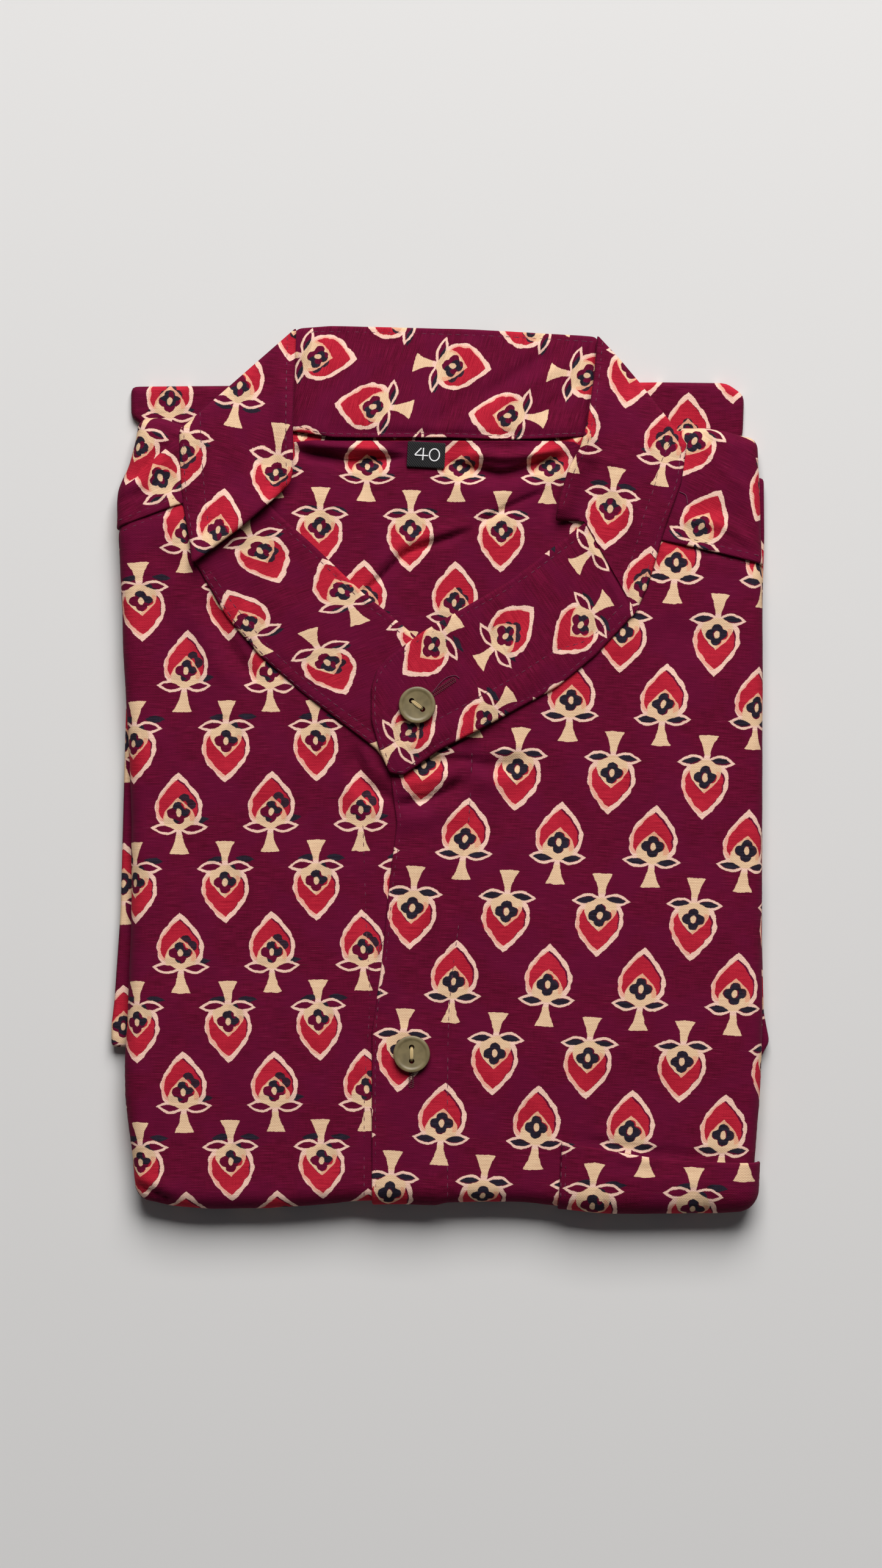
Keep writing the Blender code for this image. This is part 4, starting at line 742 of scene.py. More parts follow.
def top_of(cut):
    """The cut's outer face, as a function from places to its rise over the fronts."""
    seed = sum(ord(letter) for letter in cut.name)
    border = softened(divided(cut.outline, cut.pitch * 0.7), cut.corners)

    def rise(places):
        strength = bpy.context.scene.kurta.crease_strength
        base = cut.base(places) if callable(cut.base) else np.full(len(places), cut.base)
        creases = CREASES.get(cut.name, ()) + (CREASES["placket"] if cut.name in UNDER_PLACKET else ())
        base = base + creased(places, creases, strength)
        base = base + sewn(places, SEWING.get(cut.name, ()), seed)
        base = base + rumpled(places, seed) * strength * (1.0 if cut.surface is cloth_points else 0.5)
        near = np.clip(edge_distance(border, places) / cut.roll, 0.0, 1.0)
        for line in cut.joined:
            near = np.maximum(near, 1.0 - smooth(0.6, 2.4, beside(places, np.array(line, float))[0]))
        drop = (cut.wall - cut.rim) * (1.0 - np.sqrt(1.0 - (1.0 - near) ** 2))
        return base, drop

    return border, rise


def cloth_cut(cut, nodes, material=None):
    """One cut of cloth with its folded or raw rim, from the outline that a maker would cut."""
    border, rise = top_of(cut)
    rows = (cut.roll * 0.16, cut.roll * 0.5, cut.roll)
    places, faces, rim = filled(border, cut.pitch, rows, FOLDS.get(cut.name, ((),))[0])
    top, drop = rise(places)
    over = cut.surface(places, top - drop)
    under = cut.surface(places, top - cut.wall)
    count = len(places)
    sides = []
    for a, b in zip(rim, rim[1:] + rim[:1]):
        sides += [(a + count, b + count, b), (a + count, b, a)]
    flipped = [tuple(count + k for k in reversed(face)) for face in faces]
    made = new_mesh(cut.name + "_cloth", np.vstack([over, under]), [tuple(f) for f in faces] + flipped + sides,
                    material or printed_cotton())
    if cut.name in PRINTS:
        lay_print(made, np.vstack([places, places]), cut.name)
    SURFACES[cut.name] = (cut, rise)
    return record_piece(made, nodes)


def on_cut(name, places, lift):
    """Points on a finished cut's outer face, in millimetres."""
    cut, rise = SURFACES[name]
    places = np.asarray(places, float)
    top, drop = rise(places)
    return cut.surface(places, top - drop + lift)

# One upright motif of this script's own design, in millimetres, from plain rules: a pointed leaf with
# round scallops, a plain bell in it, four round lobes about an eye, two side leaves and a flared stem
MOTIF_HEIGHT = 29.0
OUTSIDE = -2.0
CHART_STEPS = 24
SCALLOP_DEPTH = 0.35
RED_SPREAD = 0.4
BELL_OUTLINE = 1.0
LOBE_MIDDLE = 14.5
LOBE_RADIUS = 1.8
LOBE_REACH = 2.1
LEAF_REACH = 10.0
LEAF_THICKNESS = 2.2
LEAF_OUTLINE = 1.1
LEAF_LEVEL = 20.5
LEAF_DROOP = 0.1
STEM_STEPS = 3
EYE = (LOBE_MIDDLE, 1.0, 1.5)


def pointed(top, foot, half, scallops):
    """Half widths down a leaf that starts in a point and stays broad at its foot."""
    rows = [(top - 0.4, OUTSIDE)]
    for k in range(CHART_STEPS + 1):
        t = k / CHART_STEPS
        bump = SCALLOP_DEPTH * abs(math.sin(math.pi * t * scallops)) if scallops else 0.0
        rows.append((top + (foot - top) * t, half * math.sin(0.72 * math.pi * t) + bump))
    return tuple(rows)


def four_lobes():
    """Half widths down four equal circles set about a middle."""
    rows = [(LOBE_MIDDLE - LOBE_REACH - LOBE_RADIUS - 0.3, OUTSIDE)]
    for k in range(CHART_STEPS + 1):
        down = (2.0 * k / CHART_STEPS - 1.0) * (LOBE_REACH + LOBE_RADIUS)
        ends = max(LOBE_RADIUS ** 2 - (abs(down) - LOBE_REACH) ** 2, 0.0) ** 0.5
        sides = LOBE_REACH + (LOBE_RADIUS ** 2 - down ** 2) ** 0.5 if abs(down) < LOBE_RADIUS else 0.0
        rows.append((LOBE_MIDDLE + down, max(ends, sides)))
    return tuple(rows + [(LOBE_MIDDLE + LOBE_REACH + LOBE_RADIUS + 0.3, OUTSIDE)])


def side_leaf(share):
    """Heights out along a side leaf: its axis at share nought, its two edges at one and minus one."""
    rows = []
    for k in range(CHART_STEPS + 1):
        x = LEAF_REACH * k / CHART_STEPS
        swell = LEAF_THICKNESS * math.sin(math.pi * x / LEAF_REACH)
        rows.append((x, LEAF_LEVEL - LEAF_DROOP * x - share * swell))
    return tuple(rows)


def flared(top, foot, narrow, wide):
    """Half widths down a stem that widens as the square of its length."""
    rows = []
    for k in range(STEM_STEPS + 1):
        t = k / STEM_STEPS
        rows.append((top + (foot - top) * t, narrow + (wide - narrow) * t * t))
    return tuple(rows + [(foot + 0.3, OUTSIDE)])


BODY_OUTER = pointed(0.0, 18.5, 8.0, 4.0) + flared(20.5, MOTIF_HEIGHT, 1.0, 3.5)
RED_OUTER = pointed(2.5, 17.0, 6.5, 3.0) + ((17.4, OUTSIDE),)
RED_BLOCK = tuple((y, half + RED_SPREAD if half > OUTSIDE else OUTSIDE) for y, half in RED_OUTER)
BELL = pointed(9.0, 20.0, 5.5, 0.0) + ((21.0, OUTSIDE),)
FOUR_LOBES = four_lobes()
LEAF_UPPER = side_leaf(1.0)
LEAF_LOWER = side_leaf(-1.0)
LEAF_HEART_MIDDLE = side_leaf(0.0)
LEAF_HEART_HALF = tuple(
    (x, y - axis - LEAF_OUTLINE) for (x, y), (_, axis) in zip(LEAF_LOWER, LEAF_HEART_MIDDLE))


def linear(hex_code):
    """A colour read off the photo as sRGB hex, as the shader's linear numbers."""
    parts = [int(hex_code[k:k + 2], 16) / 255.0 for k in (0, 2, 4)]
    return tuple(c / 12.92 if c <= 0.04045 else ((c + 0.055) / 1.055) ** 2.4 for c in parts) + (1.0,)


def toned(colour, shares):
    """A darker or warmer tone of a colour, from a share for its red, green and blue."""
    return tuple(part * share for part, share in zip(colour, shares)) + (1.0,)


def add(tree, kind, inputs=None, **settings):
    """Adds a node, sets its properties, and sets or links its inputs."""
    node = tree.nodes.new(kind)
    for key, value in settings.items():
        setattr(node, key, value)
    for key, value in (inputs or {}).items():
        if isinstance(value, bpy.types.NodeSocket):
            tree.links.new(value, node.inputs[key])
        else:
            node.inputs[key].default_value = value
    return node


def calc(tree, operation, *values):
    """A Math node's result."""
    return add(tree, "ShaderNodeMath", dict(enumerate(values)), operation=operation).outputs[0]


def ease(tree, value, low, high):
    """0 where the value is below low, 1 above high, and smooth between."""
    node = add(tree, "ShaderNodeMapRange", {"Value": value, "From Min": low, "From Max": high},
               interpolation_type="SMOOTHSTEP")
    return node.outputs["Result"]


def blend(tree, factor, low, high, kind="MIX"):
    node = add(tree, "ShaderNodeMix", data_type="RGBA", blend_type=kind)
    for key, value in ((0, factor), (6, low), (7, high)):
        if isinstance(value, bpy.types.NodeSocket):
            tree.links.new(value, node.inputs[key])
        else:
            node.inputs[key].default_value = value
    return node.outputs[2]


def drawn(tree, value, rows, start, span):
    """The height at a value of a curve drawn through rows, on a Float Curve node."""
    shift = 2.0
    scale = 26.0
    position = calc(tree, "DIVIDE", calc(tree, "SUBTRACT", value, start), span)
    position = add(tree, "ShaderNodeClamp", {"Value": position}).outputs[0]
    node = add(tree, "ShaderNodeFloatCurve", {"Value": position})
    curve = node.mapping.curves[0]
    wanted = [((x - start) / span, (y + shift) / scale) for x, y in rows]
    if wanted[0][0] > 0.0:
        wanted.insert(0, (0.0, wanted[0][1]))
    if wanted[-1][0] < 1.0:
        wanted.append((1.0, wanted[-1][1]))
    while len(curve.points) < len(wanted):
        curve.points.new(0.5, 0.5)
    for point, place in zip(curve.points, wanted):
        point.location = place
    for point in curve.points:
        point.handle_type = "VECTOR"
    node.mapping.update()
    return calc(tree, "SUBTRACT", calc(tree, "MULTIPLY", node.outputs[0], scale), shift)


def motif_group():
    """A node group from a place in the print to the distance out from the nearest motif's middle and down its height."""
    tree = bpy.data.node_groups.new("nearest motif", "ShaderNodeTree")
    for name in ("X", "Y"):
        tree.interface.new_socket(name, in_out="INPUT", socket_type="NodeSocketFloat")
    for name in ("Out", "Down"):
        tree.interface.new_socket(name, in_out="OUTPUT", socket_type="NodeSocketFloat")
    x, y = add(tree, "NodeGroupInput").outputs[:2]
    half_x, half_y = REPEAT[0] / 2, REPEAT[1] / 2
    up_x = calc(tree, "ABSOLUTE", calc(tree, "WRAP", x, half_x, -half_x))
    up_y = calc(tree, "WRAP", y, half_y, -half_y)
    down_x = calc(tree, "ABSOLUTE", calc(tree, "WRAP", calc(tree, "ADD", x, half_x), half_x, -half_x))
    down_y = calc(tree, "WRAP", calc(tree, "ADD", y, half_y), half_y, -half_y)
    far = calc(tree, "ADD", calc(tree, "DIVIDE", up_x, half_x),
               calc(tree, "DIVIDE", calc(tree, "ABSOLUTE", up_y), half_y))
    inverted = calc(tree, "GREATER_THAN", far, 1.0)
    upright = calc(tree, "SUBTRACT", 1.0, inverted)
    out = calc(tree, "ADD", calc(tree, "MULTIPLY", up_x, upright), calc(tree, "MULTIPLY", down_x, inverted))
    rise = calc(tree, "SUBTRACT", calc(tree, "MULTIPLY", up_y, upright),
                calc(tree, "MULTIPLY", down_y, inverted))
    down = calc(tree, "SUBTRACT", MOTIF_HEIGHT / 2, rise)
    add(tree, "NodeGroupOutput", {"Out": out, "Down": down})
    return tree


def printed_cotton():
    """Plain woven cotton, hand block printed in cream, red and indigo on burgundy, undyed yarn slubs across."""
    known = bpy.data.materials.get("printed cotton")
    if known:
        return known
    look = bpy.context.scene.kurta
    material = bpy.data.materials.new("printed cotton")
    material.use_nodes = True
    tree = material.node_tree
    tree.nodes.clear()
    motif = motif_group()
    place = add(tree, "ShaderNodeAttribute", attribute_name="print_mm").outputs["Vector"]
    slip = add(tree, "ShaderNodeAttribute", attribute_name="slip_mm").outputs["Vector"]

    # The hand-cut block's wavering edge
    def wander(size, amount):
        cloud = add(tree, "ShaderNodeTexNoise", {"Vector": place, "Scale": 1.0 / size, "Detail": 1.0})
        centred = add(tree, "ShaderNodeVectorMath", {0: cloud.outputs["Color"], 1: (0.5, 0.5, 0.5)},
                      operation="SUBTRACT").outputs[0]
        return add(tree, "ShaderNodeVectorMath", {0: centred, "Scale": amount}, operation="SCALE").outputs[0]

    def total(*vectors):
        found = vectors[0]
        for vector in vectors[1:]:
            found = add(tree, "ShaderNodeVectorMath", {0: found, 1: vector}, operation="ADD").outputs[0]
        return found

    wavered = total(place, wander(30.0, 1.6), wander(2.6, 0.75), wander(0.5, 0.35))

    def nearest(vector):
        axes = add(tree, "ShaderNodeSeparateXYZ", {0: vector}).outputs
        group = add(tree, "ShaderNodeGroup", node_tree=motif)
        tree.links.new(axes[0], group.inputs["X"])
        tree.links.new(axes[1], group.inputs["Y"])
        return group.outputs["Out"], group.outputs["Down"]

    def low(*values):
        found = values[0]
        for value in values[1:]:
            found = calc(tree, "MINIMUM", found, value)
        return found

    def less(a, b):
        return calc(tree, "SUBTRACT", a, b)

    def hearts(out, down):
        """The leaves' middles, the four lobes and the eye, each above nought inside."""
        heart = less(drawn(tree, out, LEAF_HEART_HALF, 0.0, 12.0),
                     calc(tree, "ABSOLUTE", less(down, drawn(tree, out, LEAF_HEART_MIDDLE, 0.0, 12.0))))
        lobes = less(drawn(tree, down, FOUR_LOBES, -1.0, 31.0), out)
        across = calc(tree, "DIVIDE", out, EYE[1])
        along = calc(tree, "DIVIDE", less(down, EYE[0]), EYE[2])
        ring = calc(tree, "SQRT", calc(tree, "ADD", calc(tree, "MULTIPLY", across, across),
                                       calc(tree, "MULTIPLY", along, along)))
        eye = calc(tree, "MULTIPLY", less(1.0, ring), EYE[1])
        return heart, lobes, eye

    # The resist block: a cream outline, leaves and stem that the later dyes barely take on
    out, down = nearest(wavered)
    body = less(drawn(tree, down, BODY_OUTER, -1.0, 31.0), out)
    leaf = low(less(down, drawn(tree, out, LEAF_UPPER, 0.0, 12.0)),
               less(drawn(tree, out, LEAF_LOWER, 0.0, 12.0), down))
    whole = calc(tree, "MAXIMUM", body, leaf)
    bell = less(drawn(tree, down, BELL, -1.0, 31.0), out)
    field = low(less(drawn(tree, down, RED_OUTER, -1.0, 31.0), out), less(0.0, bell))
    heart, lobes, eye = hearts(out, down)
    opened = calc(tree, "MAXIMUM", less(0.0, lobes), eye)
    cream = low(whole, less(0.0, field), less(0.0, heart), opened)
    cream_share = ease(tree, cream, -0.04, 0.2)
    middle = ease(tree, calc(tree, "MAXIMUM", bell, less(down, 22.0)), -0.4, 0.6)

    # The red block and the indigo block, each slipped a little on its own
    axes = add(tree, "ShaderNodeSeparateXYZ", {0: slip}).outputs
    dark_shift = add(tree, "ShaderNodeCombineXYZ", {"X": axes[0], "Y": axes[1]}).outputs[0]
    red_shift = add(tree, "ShaderNodeCombineXYZ", {"X": axes[2], "Y": calc(tree, "MULTIPLY", axes[2], 0.5)})

    def slipped(shift):
        moved = add(tree, "ShaderNodeVectorMath", {0: wavered, 1: shift}, operation="SUBTRACT").outputs[0]
        return nearest(total(moved, wander(3.7, 0.5)))

    red_out, red_down = slipped(red_shift.outputs[0])
    red = low(less(drawn(tree, red_down, RED_BLOCK, -1.0, 31.0), red_out),
              less(red_out, less(drawn(tree, red_down, BELL, -1.0, 31.0), BELL_OUTLINE)))
    red_share = ease(tree, red, -0.18, 0.14)
    dark_out, dark_down = slipped(dark_shift)
    dark_heart, dark_lobes, dark_eye = hearts(dark_out, dark_down)
    dark = calc(tree, "MAXIMUM", low(dark_lobes, less(0.0, dark_eye)), dark_heart)
    dark_share = ease(tree, dark, -0.2, 0.12)

    # Yarn: slubs run across, with a finer streak along, and both dyes and pastes sit unevenly on them
    def streaks(scale, detail):
        stretched = add(tree, "ShaderNodeVectorMath", {0: place, 1: scale}, operation="MULTIPLY").outputs[0]
        return add(tree, "ShaderNodeTexNoise", {"Vector": stretched, "Scale": 1.0, "Detail": detail}).outputs[0]

    slubs = streaks((0.16, 3.4, 1.0), 3.0)
    warp = streaks((3.4, 0.2, 1.0), 2.0)
    clouds = streaks((0.05, 0.06, 1.0), 4.0)
    speckle = streaks((2.6, 2.6, 1.0), 2.0)
    yarn = calc(tree, "ADD", calc(tree, "MULTIPLY", slubs, 0.78), calc(tree, "MULTIPLY", warp, 0.22))

    def part_of(share, amount):
        return calc(tree, "MULTIPLY", share, amount)

    # The burgundy ground: fine streaks across and broad clouds keep its large plain areas from looking painted
    ground = blend(tree, ease(tree, yarn, 0.36, 0.64), toned(look.ground_colour, (0.5, 0.42, 0.46)),
                   toned(look.ground_colour, (0.93, 0.96, 0.98)))
    ground = blend(tree, part_of(ease(tree, clouds, 0.4, 0.62), 0.55), ground,
                   toned(look.ground_colour, (0.73, 0.76, 1.0)))
    ground = blend(tree, part_of(ease(tree, slubs, 0.66, 0.78), 0.22), ground, linear("9c4f68"))

    # Red takes unevenly, so that each motif's field looks pressed on by hand
    uneven = calc(tree, "ADD", yarn, part_of(clouds, 0.4))
    red_ground = blend(tree, ease(tree, uneven, 0.45, 0.95), toned(look.red_colour, (0.575, 0.3, 0.475)),
                       toned(look.red_colour, (1.0, 1.0, 1.0)))

    # Indigo over burgundy is nearly black, with a cold tint that sets it off from the shadows
    dark_ground = blend(tree, ease(tree, yarn, 0.35, 0.7), toned(look.indigo_colour, (0.35, 0.32, 0.31)),
                        toned(look.indigo_colour, (1.0, 1.0, 1.0)))

    # The undyed cotton under the resist: pinker at the outlines, yellower in the middles, and ribbed by its yarn
    cream_plain = blend(tree, middle, toned(look.cream_colour, (1.0, 1.0, 1.0)),
                        toned(look.cream_colour, (0.895, 0.937, 0.715)))
    ribbed = blend(tree, 0.42, cream_plain, toned(look.cream_colour, (0.5, 0.35, 0.26)))
    cream_plain = blend(tree, ease(tree, yarn, 0.3, 0.72), ribbed, cream_plain)
    coral = blend(tree, 0.62, cream_plain, toned(look.cream_colour, (0.77, 0.3, 0.22)))

    patchy = part_of(ease(tree, speckle, 0.2, 0.42), 0.26)
    base = blend(tree, part_of(red_share, calc(tree, "ADD", 0.72, patchy)), ground, red_ground)
    base = blend(tree, part_of(dark_share, calc(tree, "ADD", 0.7, patchy)), base, dark_ground)
    resist = blend(tree, part_of(red_share, 0.7), cream_plain, coral)
    resist = blend(tree, part_of(dark_share, 0.12), resist, dark_ground)
    covered = part_of(cream_share, calc(tree, "ADD", 0.86, part_of(patchy, 0.5)))
    colour = blend(tree, covered, base, resist)

    # The real weave has 24 threads a centimetre, too fine for the picture: it is drawn twice as coarse
    weave_pitch = math.tau / 0.84
    threads = add(tree, "ShaderNodeVectorMath", {0: place, "Scale": weave_pitch}, operation="SCALE").outputs[0]
    both = add(tree, "ShaderNodeSeparateXYZ", {0: threads}).outputs
    weave = calc(tree, "MULTIPLY", calc(tree, "SINE", both[0]), calc(tree, "SINE", both[1]))
    relief = calc(tree, "ADD", calc(tree, "MULTIPLY", weave, 0.35), calc(tree, "MULTIPLY", slubs, 1.2))
    relief = calc(tree, "ADD", relief, calc(tree, "MULTIPLY", warp, 0.7))
    bump = add(tree, "ShaderNodeBump", {"Height": relief, "Strength": 0.55, "Distance": 0.00012})

    # Rough and nearly without shine: dry cotton, whose folds show by shade alone
    shader = add(tree, "ShaderNodeBsdfPrincipled", {
        "Base Color": colour,
        "Roughness": 0.86,
        "Specular IOR Level": 0.08,
        "Sheen Weight": 0.03,
        "Sheen Roughness": 0.45,
        "Sheen Tint": linear("e0a8bc"),
        "Normal": bump.outputs[0],
    })
    add(tree, "ShaderNodeOutputMaterial", {"Surface": shader.outputs[0]})
    return material


def plain_material(name, colour, roughness, sheen=0.0, specular=0.4):
    """A material of one colour, in linear numbers, made once and shared."""
    known = bpy.data.materials.get(name)
    if known:
        return known
    material = bpy.data.materials.new(name)
    material.use_nodes = True
    tree = material.node_tree
    shader = tree.nodes["Principled BSDF"]
    for key, value in (("Base Color", colour), ("Roughness", roughness), ("Sheen Weight", sheen),
                       ("Specular IOR Level", specular)):
        shader.inputs[key].default_value = value
    return material


def sewing_thread():
    """Burgundy polyester sewing thread."""
    # The shade of the cloth itself with a little sheen, so that a row shows by its dents and small highlights
    thread_colour = toned(bpy.context.scene.kurta.thread_colour, (1.0, 1.0, 1.0))
    return plain_material("burgundy thread", thread_colour, 0.65, sheen=0.3)


def lofted(name, rings, top, material):
    """A closed solid from rings of equal count, flat below, and filled to inner points above."""
    count = len(rings[0])
    faces = []
    for level in range(len(rings) - 1):
        for k in range(count):
            n = (k + 1) % count
            a, b = level * count, (level + 1) * count
            faces.append((a + k, a + n, b + n, b + k))
    faces.append(tuple(range(count))[::-1])
    border = rings[-1][:, :2]
    inner = top[inside(border, top[:, :2])]
    inner = inner[edge_distance(border, inner[:, :2]) > 2.0]
    made, _, filled_faces, origin, _, _ = delaunay_2d_cdt(
        [tuple(p) for p in np.vstack([border, inner[:, :2]])], [], [list(range(count))], 1, 1e-5)
    source = [min(sources) + (len(rings) - 1) * count for sources in origin]
    faces += [tuple(source[k] for k in face) for face in filled_faces]
    return new_mesh(name, np.vstack(rings + [inner]), faces, material)


def hidden_layers():
    """The body's hidden layers: soft lips of folded cloth round the edge, under the fronts' rolled folds."""
    bases, outs, radii = packet_frames()
    loop = np.stack([np.arange(len(bases)) * 2.3, np.zeros(len(bases))], axis=1)
    rings = []
    for lip in range(4):
        waver = noise(loop, 23.0, 60 + lip) * 0.45
        for rise, inset in ((0.0, 1.7), (0.12, 1.15), (0.5, 0.75), (0.88, 1.15)):
            reach = radii - inset - waver
            if lip == 0 and rise == 0.0:
                reach = radii - 1.5
            level = np.full(len(bases), 1.35 * (lip + rise))
            rings.append(np.column_stack([bases + outs * reach[:, None], level]))
    under = -1.5
    for degrees in (86.0, 66.0, 46.0, 26.0, 8.0):
        places = bases + outs * (math.radians(degrees) * radii)[:, None]
        rings.append(cloth_points(places, under))
    xs, ys = np.meshgrid(np.arange(-110.0, 110.0, 6.0), np.arange(-150.0, 124.0, 6.0))
    grid = np.stack([xs.ravel(), ys.ravel()], axis=1)
    top = cloth_points(grid, under - 3.0)
    made = lofted("hidden_layers", rings, top, printed_cotton())
    points = np.zeros(len(made.data.vertices) * 3)
    made.data.vertices.foreach_get("co", points)
    points = points.reshape(-1, 3) / MM
    places = points[:, :2].copy()
    places[:, 1] += points[:, 2] * 0.6
    lay_print(made, places, "hidden_layers")
    return record_piece(made, ["folded_stack"])


def flat_points(places, lift):
    """Places on a layer that lies level, lift above the table."""
    return np.column_stack([places, np.broadcast_to(lift, len(places))])


def folded_under():
    """The tail of the body and the sleeves, folded behind: only their edges show."""
    inner = [(x, float(read_table(SHOULDER_FOLD, x)) - 3.0) for x in np.linspace(-103.0, 105.0, 20)]
    cloth_cut(Cut("tail_fold", list(TAIL_EDGE) + inner, flat_points, 3.9, 3.8, 1.6, 1.2, 2.2, 2), ["tail_fold"])
    for side, edge, fold, tuck in (("left", SLEEVE_LEFT_EDGE, LEFT_FOLD, SLEEVE_TUCK),
                                   ("right", SLEEVE_RIGHT_EDGE, RIGHT_FOLD, -SLEEVE_TUCK)):
        inner = [(float(read_table(fold, y)) + tuck, y) for _, y in reversed(edge)]
        cut = Cut("sleeve_" + side, list(edge) + inner, flat_points, 5.2, 2.4, 1.1, 0.9, 1.6, 2)
        cloth_cut(cut, ["sleeve_" + side])


def sunk_by(line, depth, width):
    """A base that sinks next to a seam line."""
    seam = through(line, 2.0)
    return lambda places: -depth * np.exp(-(beside(places, seam)[0] / width) ** 2)


def front_outlines():
    foot_y = hem_place("bottom", FRONT_JOIN_X)[1]
    left_side, left_turn, left_neck = YOKE_SEAM_LEFT
    neck = below(moved_sideways(NECKLINE_LEFT, SEAM_TUCK), left_neck[1])
    left = (hem_run(hem_place("left", left_side[1]), (FRONT_JOIN_X, foot_y))
            + [(FRONT_JOIN_X, FRONT_TIP_Y)] + neck[::-1] + [left_turn])
    right_neck, right_turn, right_side = YOKE_SEAM_RIGHT
    neck = below(moved_sideways(NECKLINE_RIGHT, -SEAM_TUCK), right_neck[1])
    right = (hem_run((FRONT_JOIN_X, foot_y), hem_place("right", right_side[1]))
             + [right_turn] + neck[:-1] + [(FRONT_JOIN_X, FRONT_TIP_Y)])
    return left, right


def fronts():
    """The two fronts, from the yoke seams down and under at the sides and the bottom."""
    left, right = front_outlines()
    cloth_cut(Cut("front_left", left, cloth_points, sunk_by(YOKE_SEAM_LEFT, 0.8, 2.2), 0.6, 0.5, 0.3, 1.9, 0),
              ["front_left"])
    cloth_cut(Cut("front_right", right, cloth_points, sunk_by(YOKE_SEAM_RIGHT, 0.8, 2.2), 0.6, 0.5, 0.3, 1.9, 0),
              ["front_right"])


def yokes():
    """The shoulder yokes, whose folded lower edges stand a little over the fronts."""
    overlap, stand = 0.8, -0.5
    left_side, left_turn, left_neck = YOKE_SEAM_LEFT
    line = moved_sideways(NECKLINE_LEFT, SEAM_TUCK)
    neck = [below(line, left_neck[1] - overlap)[0]]
    neck += [place for place in reversed(line) if left_neck[1] + 1.0 < place[1] < BACK_TOP_Y]
    hem_x, hem_y = hem_place("left", left_side[1])
    outline = hem_run(hem_place("top", line[0][0]), (hem_x, hem_y - overlap))
    outline += [(left_turn[0], left_turn[1] - overlap)] + neck
    cloth_cut(Cut("yoke_left", outline, cloth_points, sunk_by(YOKE_SEAM_LEFT, stand, 2.6), 0.8, 0.7, 0.2, 1.5, 1),
              ["yoke_left"])
    right_neck, right_turn, right_side = YOKE_SEAM_RIGHT
    line = moved_sideways(NECKLINE_RIGHT, -SEAM_TUCK)
    neck = [place for place in line if right_neck[1] + 1.0 < place[1] < BACK_TOP_Y]
    neck += [below(line, right_neck[1] - overlap)[0]]
    hem_x, hem_y = hem_place("right", right_side[1])
    outline = hem_run((hem_x, hem_y - overlap), hem_place("top", line[0][0]))
    outline += neck + [(right_turn[0], right_turn[1] - overlap)]
    cloth_cut(Cut("yoke_right", outline, cloth_points, sunk_by(YOKE_SEAM_RIGHT, stand, 2.6), 0.8, 0.7, 0.2, 1.5, 1),
              ["yoke_right"])


def beside_strips(places, depth, reach):
    """A dip next to the strips that stand up at both sides of the neck opening."""
    near = [beside(places, through(line, 2.0))[0] for line in (BAND_INNER_LEFT, BAND_INNER_RIGHT[:6])]
    return depth * (1.0 - smooth(0.0, reach, np.minimum(*near)))


def back():
    """The back's inner face, which shows in the neck opening."""
    left = below(moved_sideways(NECKLINE_LEFT, SEAM_TUCK + 0.4), BACK_TOP_Y)[:-1]
    right = below(moved_sideways(NECKLINE_RIGHT, -SEAM_TUCK - 0.4), BACK_TOP_Y)[:-2]
    outline = left + list(BACK_TIP) + right[::-1]

    def sunk_at_sides(places):
        return -beside_strips(places, 1.9, 8.0)

    cloth_cut(Cut("back_panel", outline, cloth_points, sunk_at_sides, 0.6, 0.5, 0.3, 1.0, 0), ["back_panel"])


